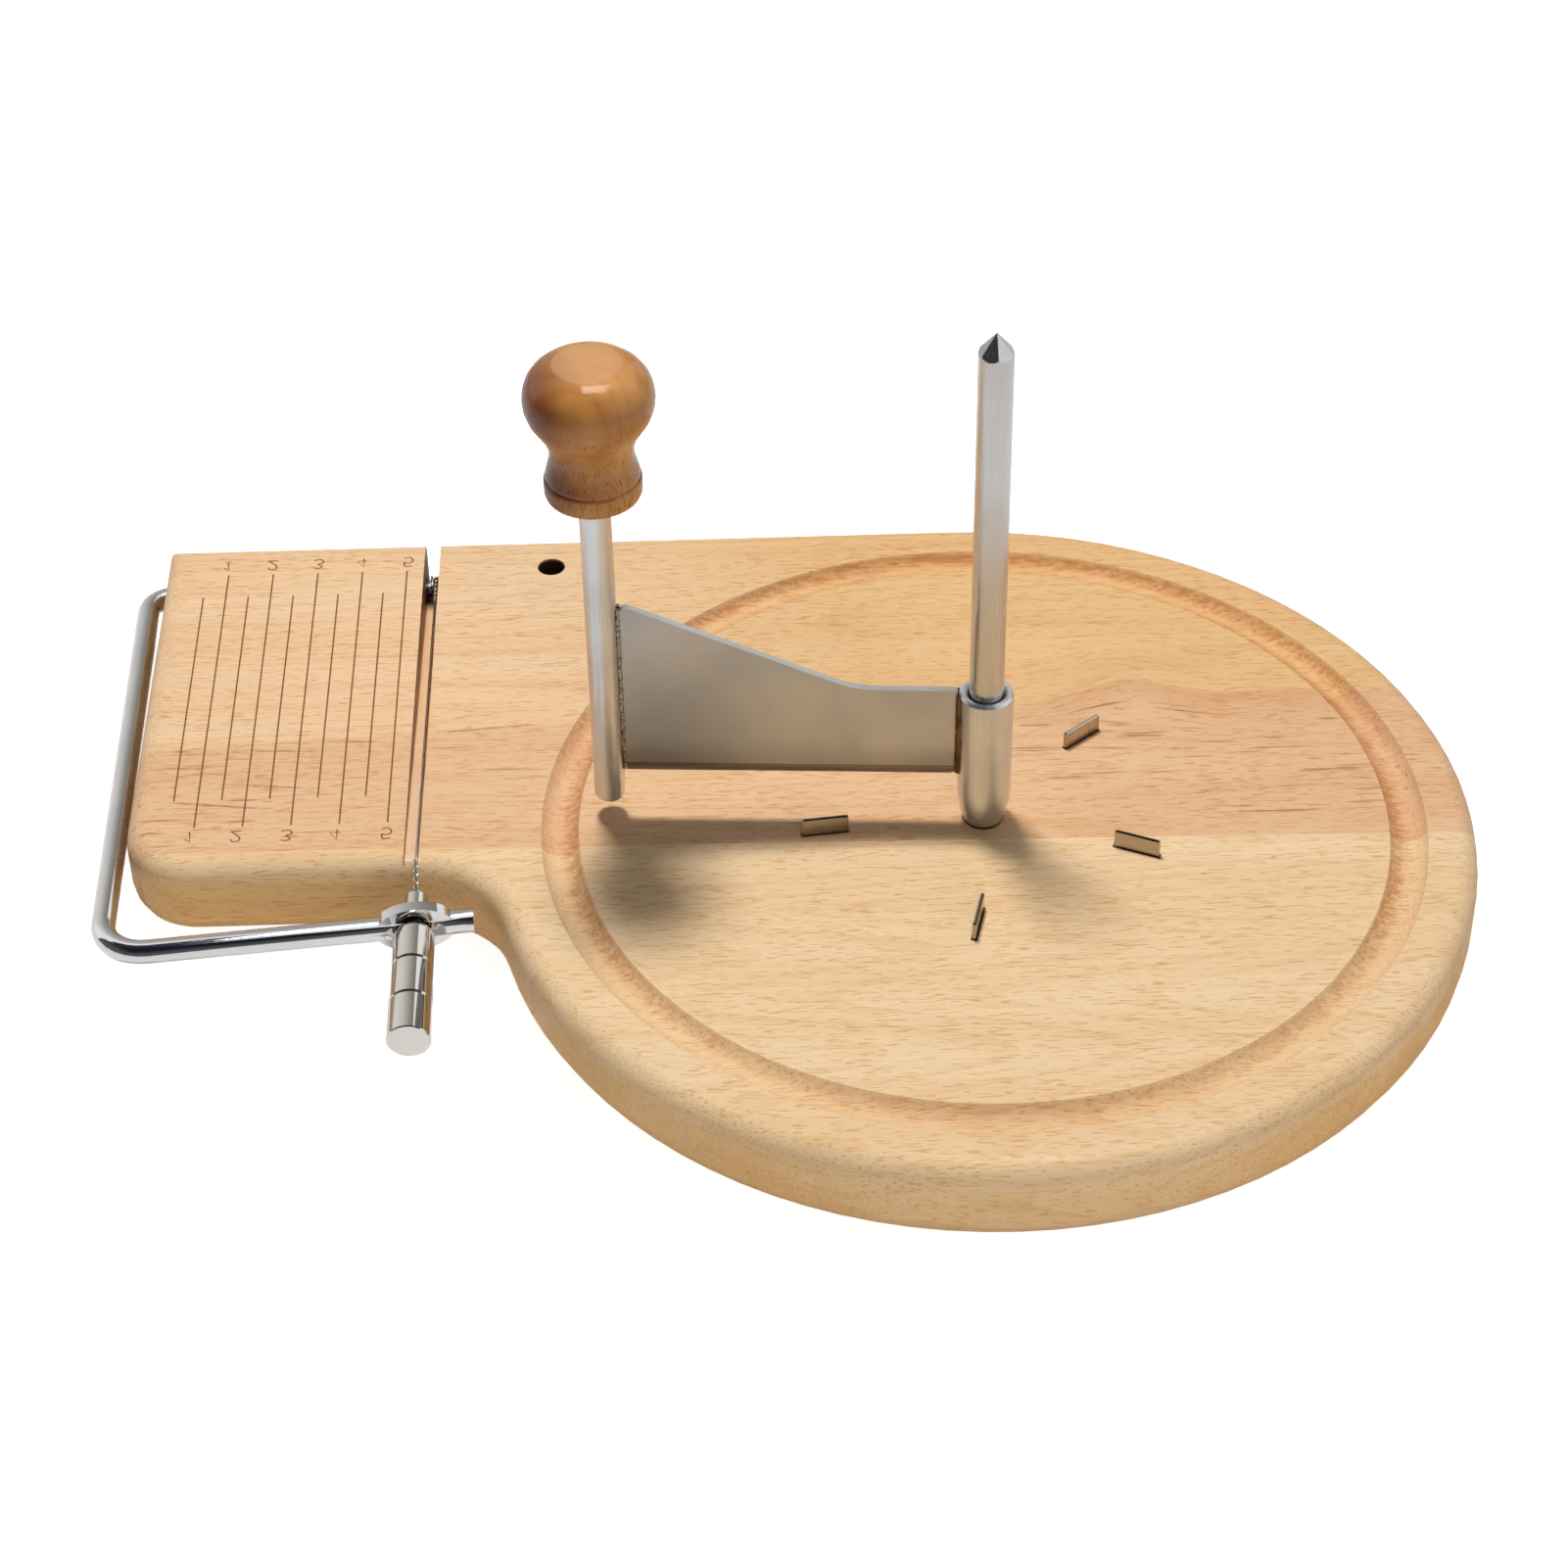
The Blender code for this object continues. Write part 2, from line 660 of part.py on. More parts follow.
def bow_corners():
    """The bow's corner points in its own plane, from the end in the bore to the stub."""
    left = -PLATFORM_REACH - BOW_SIDE_GAP - BOW_RADIUS
    depth = PIVOT_Y + PLATFORM_FRONT + BOW_FRONT_GAP
    front_left = left + depth * math.tan(BOW_SIDE_LEAN)
    stub = EYE_X + BOW_STUB
    return [
        Vector((BOW_INNER_END, 0, 0)),
        Vector((left, 0, 0)),
        Vector((front_left, -depth, 0)),
        Vector((stub, -depth + (stub - front_left) * math.tan(BOW_ARM_LEAN), 0)),
    ]


def eye_place():
    """The middle of the eye in the bow's plane, on the line of the front arm."""
    front_left = bow_corners()[2]
    y = front_left.y + (EYE_X - front_left.x) * math.tan(BOW_ARM_LEAN)
    return Matrix.Translation((EYE_X, y, 0))


def make_bow(bow_pivot, pin_axis):
    """The bent rod: one end turns in the board, the other is flattened to an eye."""
    chrome = new_material("bow_chrome", BRIGHT, 0.08, 1.0)
    back_bend = BOW_RADIUS + BOW_SIDE_GAP + BOW_BEND_START
    path = filleted(bow_corners(), (back_bend, BOW_FRONT_BEND))
    bow = rod("slicer_bow", path, BOW_RADIUS, 6, material=chrome, parent=bow_pivot)
    along_arm = eye_place() @ Matrix.Rotation(BOW_ARM_LEAN, 4, "Z")
    scoop_offset = EYE_THICKNESS / 2 - EYE_SCOOP_BITE + EYE_SCOOP_RADIUS
    for side, name in ((1, "eye_back_cutter"), (-1, "eye_front_cutter")):
        place = along_arm @ Matrix.Translation((0, side * scoop_offset, 0))
        scoop = cone(
            name,
            EYE_SCOOP_RADIUS,
            EYE_SCOOP_RADIUS,
            EYE_HEIGHT,
            sides=96,
            place=place,
            parent=bow_pivot,
            cutter=True,
        )
        boolean(bow, scoop)
    eye = cone(
        "eye_plate_cutter",
        EYE_WIDTH / 2,
        EYE_WIDTH / 2,
        EYE_THICKNESS,
        sides=40,
        stretch=(1.0, EYE_HEIGHT / EYE_WIDTH),
        place=along_arm @ Matrix.Rotation(math.pi / 2, 4, "X"),
        parent=bow_pivot,
        cutter=True,
    )
    boolean(bow, eye, "UNION")
    hole_radius = PIN_RADIUS + GAP
    hole = cone(
        "eye_hole_cutter", hole_radius, hole_radius, EYE_WIDTH, parent=pin_axis, cutter=True
    )
    boolean(bow, hole)


def make_pin(pin_axis):
    """The drilled pin in the eye: the wire ends in it, and the handle screws on to it."""
    chrome = new_material("pin_chrome", BRIGHT, 0.12, 1.0)
    tip = -PIN_REACH_IN
    hole_end = tip + PIN_HOLE_DEPTH
    profile = [
        (0.0, PIN_REACH_OUT),
        (PIN_RADIUS - PIN_CHAMFER, PIN_REACH_OUT),
        (PIN_RADIUS, PIN_REACH_OUT - PIN_CHAMFER),
        (PIN_RADIUS, tip + PIN_CHAMFER),
        (PIN_RADIUS - PIN_CHAMFER, tip),
        (PIN_HOLE_RADIUS, tip),
        (PIN_HOLE_RADIUS, hole_end),
        (0.0, hole_end),
    ]
    turned("tension_pin", profile, sides=32, material=chrome, parent=pin_axis)


def make_handle(pin_axis):
    """The turned handle that tightens the wire, with two V-shaped rings round it."""
    chrome = new_material("handle_chrome", BRIGHT, 0.08, 1.0)
    lean = math.tan(BOW_ARM_LEAN) + math.tan(PIN_TILT)
    face_radius = HANDLE_INNER_RADIUS - HANDLE_ROUND
    start = EYE_THICKNESS / 2 + face_radius * lean + GAP
    end = start + HANDLE_LENGTH
    flare = (HANDLE_OUTER_RADIUS - HANDLE_INNER_RADIUS) / HANDLE_LENGTH
    profile = [
        (0.0, end),
        (HANDLE_OUTER_RADIUS - HANDLE_END_CHAMFER, end),
        (HANDLE_OUTER_RADIUS, end - HANDLE_END_CHAMFER),
    ]
    for ring in range(HANDLE_GROOVES, 0, -1):
        middle = start + HANDLE_LENGTH * ring / (HANDLE_GROOVES + 1)
        radius = HANDLE_INNER_RADIUS + flare * (middle - start)
        profile += [
            (radius, middle + HANDLE_GROOVE_DEPTH),
            (radius - HANDLE_GROOVE_DEPTH, middle),
            (radius, middle - HANDLE_GROOVE_DEPTH),
        ]
    round_center = (face_radius, start + HANDLE_ROUND)
    profile += arc(round_center, HANDLE_ROUND, 0, -90, 5)
    bore = PIN_RADIUS + GAP
    bore_end = PIN_REACH_OUT + GAP
    profile += [(bore, start), (bore, bore_end), (0.0, bore_end)]
    turned("tension_handle", profile, sides=40, material=chrome, parent=pin_axis)


def wire_path(pin_axis):
    """From a loop round the bow, along the slot, over the front edge and into the pin."""
    loop_radius = BOW_RADIUS + GAP + WIRE_RADIUS
    edge_y = WIRE_EDGE_INSET - PLATFORM_FRONT
    edge = Vector((EYE_X, edge_y, BOARD_TOP - WIRE_EDGE_DEPTH))
    run = PIVOT_Y - edge.y
    rise = edge.z - PIVOT_Z
    slope = math.atan2(rise, run) - math.asin(loop_radius / math.hypot(run, rise))
    steps = round(WIRE_TURN_STEPS * WIRE_TURNS)
    loop = []
    for step in range(steps, -1, -1):
        turns = WIRE_TURNS * step / steps
        angle = slope + math.tau * turns
        x = SLOT_X + WIRE_SHIFT - WIRE_PITCH * turns
        y = PIVOT_Y + loop_radius * math.sin(angle)
        loop.append(Vector((x, y, PIVOT_Z + loop_radius * math.cos(angle))))
    mouth = pin_axis.matrix_world @ Vector((0, 0, -PIN_REACH_IN - WIRE_PIN_ENTRY))
    seat = pin_axis.matrix_world @ Vector((0, 0, -PIN_REACH_IN + WIRE_PIN_SEAT))
    bends = filleted([loop[-1], edge, mouth, seat], (WIRE_EDGE_BEND, WIRE_PIN_BEND), steps=4)
    return loop + bends[1:]


def make_wire(bow_pivot, pin_axis):
    """The stretched wire that cuts the cheese."""
    steel = new_material("wire_steel", BRIGHT, 0.25, 1.0)
    to_bow = bow_pivot.matrix_world.inverted()
    path = [to_bow @ point for point in wire_path(pin_axis)]
    rod("cutting_wire", path, WIRE_RADIUS, 2, material=steel, parent=bow_pivot)


# %% Assembly

make_board()
make_insert()
make_spindle()
for prong_number, (prong_angle, prong_yaw) in enumerate(zip(PRONG_ANGLES, PRONG_YAWS), start=1):
    make_prong(prong_number, prong_angle, prong_yaw)

scraper_axis = axis_empty("scraper_axis", Matrix.Rotation(SCRAPER_TURN, 4, "Z"))
make_sleeve()
make_blade(scraper_axis)
make_crank_rod(scraper_axis)
make_knob(scraper_axis)

bow_place = Matrix.Translation((0, PIVOT_Y, PIVOT_Z)) @ Matrix.Rotation(-BOW_LIFT, 4, "X")
bow_axis = axis_empty("bow_axis", bow_place)
pin_turn = Matrix.Rotation(math.pi / 2 + PIN_TILT, 4, "X")
handle_axis = axis_empty("handle_axis", eye_place() @ pin_turn, parent=bow_axis)
make_bow(bow_axis, handle_axis)
make_pin(handle_axis)
make_handle(handle_axis)
make_wire(bow_axis, handle_axis)
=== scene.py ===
# %% [markdown]
# # A cheese board that shaves curls and cuts slices
#
# The object is a round beech board with a small platform on its left. A steel
# scraper turns round a spindle and shaves a cheese into curls, and a wire on a
# swinging bow cuts slices on the platform.
#
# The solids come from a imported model, in metres: X runs along the wood's grain,
# Y to the back and Z up. This lesson gives them their looks. A solid whose shape
# is right is copied, merged and shaded smoothly. A finer mesh takes the place of
# a solid that is too plain.

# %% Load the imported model
import math

import bmesh
import bpy
from mathutils import Matrix, Vector, noise


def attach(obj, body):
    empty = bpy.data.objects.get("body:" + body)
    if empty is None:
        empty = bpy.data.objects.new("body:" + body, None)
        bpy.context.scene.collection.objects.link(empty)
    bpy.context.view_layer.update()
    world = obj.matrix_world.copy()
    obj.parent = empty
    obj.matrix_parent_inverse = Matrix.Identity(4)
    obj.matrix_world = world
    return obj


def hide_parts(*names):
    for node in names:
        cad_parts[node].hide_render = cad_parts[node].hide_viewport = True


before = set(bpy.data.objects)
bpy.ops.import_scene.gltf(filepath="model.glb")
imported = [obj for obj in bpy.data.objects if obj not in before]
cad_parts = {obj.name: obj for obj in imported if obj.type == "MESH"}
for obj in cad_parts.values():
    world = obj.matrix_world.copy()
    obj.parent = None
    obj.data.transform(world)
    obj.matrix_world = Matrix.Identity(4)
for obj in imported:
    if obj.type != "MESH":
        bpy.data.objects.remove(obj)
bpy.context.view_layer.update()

# %% [markdown]
# ## The view
#
# The photograph looks down at the board from the front. Its camera was worked out
# from the straight lines of the scale and the round disc. A turn, a height and a
# small roll, all in radians, say where it looks, and one distance says how far off
# it stands. A camera, a lamp and a piece are each an object that holds some data,
# so one helper links them all to the scene.

# %% Object helper


def place_object(name, data):
    """Links a new object with a mesh, a lamp or a camera to the scene."""
    item = bpy.data.objects.new(name, data)
    bpy.context.scene.collection.objects.link(item)
    return item


# %% Camera
CAMERA_TURN = 0.0196137
CAMERA_HEIGHT = 0.7035409
CAMERA_ROLL = 0.0158204
CAMERA_DISTANCE = 0.78085
CAMERA_TARGET = Vector((-0.040809, 0.012030, 0.022))
FOCAL_PIXELS = 3812.26
PHOTO_PIXELS = 1601.0
SENSOR_WIDTH = 36.0
NEAREST_SEEN = 0.01


def camera_place():
    """The camera's place and turn in the model's frame."""
    forward = Vector((math.sin(CAMERA_TURN), math.cos(CAMERA_TURN), 0)) * math.cos(CAMERA_HEIGHT)
    forward.z = -math.sin(CAMERA_HEIGHT)
    right = Vector((math.cos(CAMERA_TURN), -math.sin(CAMERA_TURN), 0))
    down = forward.cross(right)
    rolled = right * math.cos(CAMERA_ROLL) + down * math.sin(CAMERA_ROLL)
    up = right * math.sin(CAMERA_ROLL) - down * math.cos(CAMERA_ROLL)
    turn = Matrix((rolled, up, -forward)).transposed().to_4x4()
    return Matrix.Translation(CAMERA_TARGET - forward * CAMERA_DISTANCE) @ turn


camera = place_object("camera", bpy.data.cameras.new("camera"))
camera.data.sensor_width = SENSOR_WIDTH
camera.data.lens = FOCAL_PIXELS / PHOTO_PIXELS * SENSOR_WIDTH
camera.data.clip_start = NEAREST_SEEN
camera.matrix_world = camera_place()
bpy.context.scene.camera = camera
print("camera stands at", [round(value, 3) for value in camera.matrix_world.translation])

# %% [markdown]
# ## Small helpers for node trees
#
# A shader is a tree of nodes. Short helpers keep the trees readable. The first
# ones add a node with its settings, feed a socket with a number or a link, and do
# one sum. The next ones make soft masks and mix colours. The last ones open a node
# group with named inputs and outputs, place it, and open a material.

# %% Node helpers


def feed(tree, socket, value):
    """Links a socket to another, or sets its number, vector or colour."""
    if isinstance(value, bpy.types.NodeSocket):
        tree.links.new(value, socket)
    else:
        socket.default_value = value


def add_node(tree, kind, sockets=None, **settings):
    """Adds a node, sets its properties and feeds its sockets by name or number."""
    node = tree.nodes.new(kind)
    for name, value in settings.items():
        setattr(node, name, value)
    for name, value in (sockets or {}).items():
        feed(tree, node.inputs[name], value)
    return node


def calculate(tree, operation, *values):
    """One sum, product or comparison, and its answer's socket."""
    node = tree.nodes.new("ShaderNodeMath")
    node.operation = operation
    for socket, value in zip(node.inputs, values):
        feed(tree, socket, value)
    return node.outputs[0]


# %% Masks and colours


def spread(tree, value, low, high, start=0.0, end=1.0):
    """Maps a range of a value smoothly to start and end, and holds it there."""
    sockets = {0: value, 1: low, 2: high, 3: start, 4: end}
    node = add_node(tree, "ShaderNodeMapRange", sockets, interpolation_type="SMOOTHSTEP")
    return node.outputs[0]


def product(tree, first, *others):
    """The product of some values."""
    for other in others:
        first = calculate(tree, "MULTIPLY", first, other)
    return first


def inside(tree, value, middle, half, soft=0.0002):
    """1 where a value lies within a distance of a middle, 0 beyond."""
    away = calculate(tree, "ABSOLUTE", calculate(tree, "SUBTRACT", value, middle))
    return spread(tree, away, half, half + soft, 1.0, 0.0)


def between(tree, value, rise, fall):
    """1 between two soft ends, each a pair of values, and 0 beyond them."""
    return product(tree, spread(tree, value, *rise), spread(tree, value, *fall, 1.0, 0.0))


def blend_colors(tree, factor, first, second, blend_type="MIX"):
    """Mixes two colours by a factor."""
    node = tree.nodes.new("ShaderNodeMix")
    node.data_type = "RGBA"
    node.blend_type = blend_type
    feed(tree, node.inputs[0], factor)
    feed(tree, node.inputs[6], first)
    feed(tree, node.inputs[7], second)
    return node.outputs[2]


def add_vectors(tree, first, second):
    """The sum of two vectors."""
    return add_node(tree, "ShaderNodeVectorMath", {0: first, 1: second}, operation="ADD").outputs[0]


# %% Noise, groups and materials


def noise_along(tree, vector, scale, detail=2.0, shift=(0.0, 0.0, 0.0)):
    """Noise in lumps per metre along each axis, so that a lump can be long and thin."""
    sockets = {"Vector": vector, "Location": shift, "Scale": scale}
    mapping = add_node(tree, "ShaderNodeMapping", sockets)
    sockets = {"Vector": mapping.outputs[0], "Scale": 1.0, "Detail": detail}
    return add_node(tree, "ShaderNodeTexNoise", sockets).outputs[0]


def open_group(name, inputs, outputs):
    """A new node group, with the sockets that come in and go out."""
    tree = bpy.data.node_groups.new(name, "ShaderNodeTree")
    for label, kind, value in inputs:
        socket = tree.interface.new_socket(label, in_out="INPUT", socket_type=kind)
        socket.default_value = value
    for label, kind in outputs:
        tree.interface.new_socket(label, in_out="OUTPUT", socket_type=kind)
    return tree, tree.nodes.new("NodeGroupInput").outputs, tree.nodes.new("NodeGroupOutput").inputs


def use_group(tree, group, sockets):
    """Places a node group in a tree."""
    node = tree.nodes.new("ShaderNodeGroup")
    node.node_tree = group
    for name, value in sockets.items():
        feed(tree, node.inputs[name], value)
    return node.outputs


def open_material(name, metallic, roughness):
    """A new material, its tree, its shader and the object's own coordinates."""
    material = bpy.data.materials.new(name)
    material.use_nodes = True
    tree = material.node_tree
    shader = tree.nodes["Principled BSDF"]
    shader.inputs["Metallic"].default_value = metallic
    shader.inputs["Roughness"].default_value = roughness
    place = tree.nodes.new("ShaderNodeTexCoord").outputs["Object"]
    return material, tree, shader, place


def add_bump(tree, shader, height, strength, distance):
    """Gives a shader the relief of a height."""
    sockets = {"Strength": strength, "Distance": distance, "Height": height}
    feed(tree, shader.inputs["Normal"], add_node(tree, "ShaderNodeBump", sockets).outputs[0])


# %% [markdown]
# ## Beech
#
# Beech is pale, and its mark is the fleck: short thin dashes, a little darker than
# the ground, that all lie along the grain. Between them run long fine fibres, and
# below them are wide soft bands and the growth rings. One node group makes all of
# it, from a vector whose X runs along the grain. Rings are the contour lines of a
# stretched noise, which is also how they come about in a log cut along its length.

# %% Beech grain group
FLOAT = "NodeSocketFloat"
VECTOR = "NodeSocketVector"
BAND_SCALE = (5.0, 75.0, 75.0)
BAND_FADE = (0.3, 0.7)
RING_SCALE = (2.4, 22.0, 22.0)
RING_COUNT = 30.0
RING_FADE = (0.5, 1.0)
FIBRE_SCALE = (17.0, 1300.0, 1300.0)
FIBRE_FADE = (0.35, 0.65)
FIBRE_RELIEF = 0.5
FLECK_SCALE = (330.0, 3200.0, 3200.0)
FLECK_REACH = (0.66, 0.74)
FLECK_DENSITY = 0.5
DENSITY_GAIN = 0.08
PATCH_SCALE = (22.0, 70.0, 70.0)
PATCH_GAIN = 0.12


def build_grain():
    """Bands, rings, fibres and flecks, each from 0 to 1, and the relief they leave."""
    inputs = [("Along Grain", VECTOR, (0, 0, 0)), ("Fleck Density", FLOAT, FLECK_DENSITY)]
    outputs = [(label, FLOAT) for label in ("Band", "Ring", "Fibre", "Fleck", "Relief")]
    tree, given, wanted = open_group("beech_grain", inputs, outputs)
    place = given["Along Grain"]
    band = spread(tree, noise_along(tree, place, BAND_SCALE), *BAND_FADE)
    contour = calculate(tree, "MULTIPLY", noise_along(tree, place, RING_SCALE, 1.0), RING_COUNT)
    ring = spread(tree, calculate(tree, "FRACT", contour), *RING_FADE)
    fibre = spread(tree, noise_along(tree, place, FIBRE_SCALE, 2.0), *FIBRE_FADE)
    patch = calculate(tree, "SUBTRACT", noise_along(tree, place, PATCH_SCALE, 1.0), 0.5)
    rich = calculate(tree, "MULTIPLY", given["Fleck Density"], DENSITY_GAIN)
    chance = calculate(tree, "MULTIPLY_ADD", patch, PATCH_GAIN, rich)
    dash = calculate(tree, "ADD", noise_along(tree, place, FLECK_SCALE, 0.0), chance)
    fleck = spread(tree, dash, *FLECK_REACH)
    pits = calculate(tree, "MULTIPLY", fleck, -1.0)
    feed(tree, wanted["Band"], band)
    feed(tree, wanted["Ring"], product(tree, ring, spread(tree, fibre, 0.0, 1.0, 0.5)))
    feed(tree, wanted["Fibre"], fibre)
    feed(tree, wanted["Fleck"], fleck)
    feed(tree, wanted["Relief"], calculate(tree, "MULTIPLY_ADD", fibre, FIBRE_RELIEF, pits))
    return tree


beech_grain = build_grain()
print("beech grain gives", [item.name for item in beech_grain.interface.items_tree][-5:])

# %% [markdown]
# The board is glued up from two wide staves. The front one is the paler. The back
# one turns from gold to pink at a line where the heart of the tree begins, and the
# line rises in a hump beside the spindle. Below it lie dark streaks. The back
# stave's grain is shifted, so that the figure breaks at the glue line as it does
# in a real board.

# %% Figure of the staves
GLUE_LINE = -0.0073
GLUE_SLOPE = -0.018
HEART_LINE = 0.0359
HEART_SLOPE = 0.036
HUMP_PLACE = 0.034
HUMP_REACH = 0.012
HUMP_RISE = 0.0065
BEND_REACH = 0.02
STAVE_SHIFT = (0.37, 0.113, 0.061)
SAP_REACH = (-0.10, -0.02)
HEART_BLUR = (-0.003, 0.002)
HEART_EDGE_RISE = (-0.012, -0.0004)
HEART_EDGE_FALL = (-0.0004, 0.0012)
HEART_EDGE_START = (0.006, 0.026)
HEART_EDGE_STOP = (0.072, 0.096)
BEECH_PALE = (0.86, 0.64, 0.392, 1.0)
BEECH_HEART = (0.785, 0.512, 0.30, 1.0)
BEECH_GOLD = (0.79, 0.52, 0.257, 1.0)
BEECH_SAP = (0.84, 0.595, 0.365, 1.0)
HEART_EDGE = (0.90, 0.79, 0.70, 1.0)


def above_glue(tree, x, y):
    """1 behind the glue line, 0 on the front stave."""
    line = calculate(tree, "MULTIPLY_ADD", x, GLUE_SLOPE, GLUE_LINE)
    return calculate(tree, "GREATER_THAN", y, line)


def above_heart(tree, x, y):
    """How far a point lies behind the heart's line, and how high the hump is there."""
    away = calculate(tree, "DIVIDE", calculate(tree, "SUBTRACT", x, HUMP_PLACE), HUMP_REACH)
    bell = calculate(tree, "EXPONENT", product(tree, away, away, -1.0))
    hump = calculate(tree, "MULTIPLY", bell, HUMP_RISE)
    line = calculate(tree, "MULTIPLY_ADD", x, HEART_SLOPE, HEART_LINE)
    height = calculate(tree, "SUBTRACT", calculate(tree, "SUBTRACT", y, line), hump)
    return height, hump


def stave_color(tree, x, back, height):
    """The ground colour, with a darker edge along the heart's line on the disc."""
    sap = spread(tree, x, *SAP_REACH, 1.0, 0.0)
    gold = blend_colors(tree, sap, BEECH_GOLD, BEECH_SAP)
    color = blend_colors(tree, spread(tree, height, *HEART_BLUR), BEECH_HEART, gold)
    edge = between(tree, height, HEART_EDGE_RISE, HEART_EDGE_FALL)
    length = between(tree, x, HEART_EDGE_START, HEART_EDGE_STOP)
    color = blend_colors(tree, product(tree, edge, length), color, HEART_EDGE, "MULTIPLY")
    return blend_colors(tree, back, BEECH_PALE, color)


def grain_place(tree, place, back, height, hump):
    """Where a point lies in the grain, which bends with the hump and breaks at the glue."""
    near_line = spread(tree, calculate(tree, "ABSOLUTE", height), 0.0, BEND_REACH, 1.0, 0.0)
    drop = product(tree, hump, near_line, -1.0)
    bend = add_node(tree, "ShaderNodeCombineXYZ", {1: drop}).outputs[0]
    scaled = add_node(tree, "ShaderNodeVectorMath", {0: STAVE_SHIFT, 3: back}, operation="SCALE")
    return add_vectors(tree, add_vectors(tree, place, bend), scaled.outputs[0])


# %% [markdown]
# The heart has dark streaks. Most are short dashes in loose clusters, which a
# noise can place. Some are long and stand where the photograph shows them, so
# each of those has a middle, a reach and a slope.

# %% Streaks of the heart
STREAK_SCALE = (60.0, 1250.0, 1250.0)
STREAK_PATCH = (13.0, 40.0, 40.0)
STREAK_SHIFT = (0.3, 0.2, 0.7)
CLUSTER_SHIFT = (0.9, 0.4, 0.1)
DASH_FADE = (0.62, 0.73)
CLUSTER_FADE = (0.50, 0.60)
HEART_FADE = (-0.006, 0.0)
RAG_FADE = (0.36, 0.56, 0.15, 0.9)
STREAK_CORE = 0.5
STREAK_TAIL = 0.6
STREAK_BLUR = 0.00045
STREAK_RAGS = (260.0, 900.0, 900.0)
LONG_STREAKS = [
    ((-0.1575, 0.0100), 0.014, -0.14),
    ((-0.1490, 0.0160), 0.010, -0.10),
    ((-0.1670, 0.0225), 0.005, -0.05),
    ((-0.1655, 0.0280), 0.005, -0.06),
    ((-0.1485, 0.0275), 0.005, -0.05),
    ((-0.1320, 0.0300), 0.006, -0.05),
    ((-0.1445, 0.0300), 0.005, 0.02),
    ((-0.1045, 0.0330), 0.014, 0.08),
    ((-0.0990, 0.0195), 0.006, 0.00),
    ((-0.0950, 0.0165), 0.006, 0.02),
    ((-0.0970, 0.0105), 0.005, 0.01),
    ((0.0130, 0.0290), 0.004, 0.00),
    ((0.0360, 0.0245), 0.005, -0.02),
    ((0.0185, 0.0115), 0.005, 0.00),
    ((0.0440, 0.0200), 0.004, -0.02),
    ((0.0520, 0.0010), 0.006, -0.03),
    ((0.0490, 0.0060), 0.004, 0.00),
    ((0.0770, 0.0285), 0.004, -0.02),
]
STREAK_HALF_WIDTH = 0.00008


def long_streak(tree, x, y, middle, reach, slope):
    """One long thin streak through a middle point, fading out towards both ends."""
    across = calculate(tree, "SUBTRACT", x, middle[0])
    line = calculate(tree, "MULTIPLY_ADD", across, slope, middle[1])
    body = inside(tree, y, line, STREAK_HALF_WIDTH, STREAK_BLUR)
    return product(tree, body, inside(tree, across, 0.0, reach * STREAK_CORE, reach * STREAK_TAIL))


def heart_streaks(tree, place, x, y, back, height):
    """Dark dashes in loose clusters and a few long streaks, only in the heart."""
    dash = spread(tree, noise_along(tree, place, STREAK_SCALE, 1.0, STREAK_SHIFT), *DASH_FADE)
    cluster = spread(tree, noise_along(tree, place, STREAK_PATCH, 0.0, CLUSTER_SHIFT), *CLUSTER_FADE)
    heart = spread(tree, height, *HEART_FADE, 1.0, 0.0)
    dashes = product(tree, dash, cluster, heart, back)
    ragged = spread(tree, noise_along(tree, place, STREAK_RAGS, 2.0), *RAG_FADE)
    lines = 0.0
    for middle, reach, slope in LONG_STREAKS:
        lines = calculate(tree, "MAXIMUM", long_streak(tree, x, y, middle, reach, slope), lines)
    return calculate(tree, "MAXIMUM", dashes, product(tree, lines, ragged))


# %% [markdown]
# Tools leave their own marks. The router's heat reddened the groove, most of all
# on its inner flank, in ticks along the grain. Its outer flank at the back of the
# disc is darker, partly from that heat and partly as painted shade. The hanging
# hole and the wire's pocket are painted dark as painted shade, and the sides are
# painted darker and browner than the top as painted shade. The slot's left wall is
# painted darker as painted shade, and its floor paler as painted light. Each mark
# is a mask made from the place alone.

# %% Marks of the tools and painted shade
BOARD_TOP = 0.022
TOP_FADE = (BOARD_TOP - 0.0009, BOARD_TOP - 0.0001)
GROOVE_RADIUS = 0.08745
GROOVE_HALF_WIDTH = 0.0042
GROOVE_BLUR = 0.0004
INNER_FLANK = (GROOVE_RADIUS - 0.0022, GROOVE_RADIUS + 0.0006)
OUTER_FLANK = (GROOVE_RADIUS + 0.0004, GROOVE_RADIUS + 0.0026)
FRONT_OF_DISC = (-0.07, -0.02)
BACK_OF_DISC = (0.0, 0.05)
TICK_SCALE = (150.0, 1100.0, 1100.0)
TICK_FADE = (0.40, 0.64, 0.45, 1.35)
HOLE_PLACE = (-0.0908, 0.0897)
HOLE_REACH = 0.0034
SLOT_PLACE = -0.11775
SLOT_HALF_FLOOR = 0.0015
SLOT_HALF_WIDTH = 0.0017
SLOT_BLUR = 0.0001
WALL_HALF_LINE = 0.0002
SLOT_FRONT = (-0.0084, -0.0078)
POCKET_HALF_WIDTH = 0.002
POCKET_FADE = (0.0845, 0.0885)
POCKET_DEPTHS = (0.0145, 0.0185)


def below_top(tree, z):
    """1 below the board's top, 0 on it."""
    return spread(tree, z, *TOP_FADE, 1.0, 0.0)


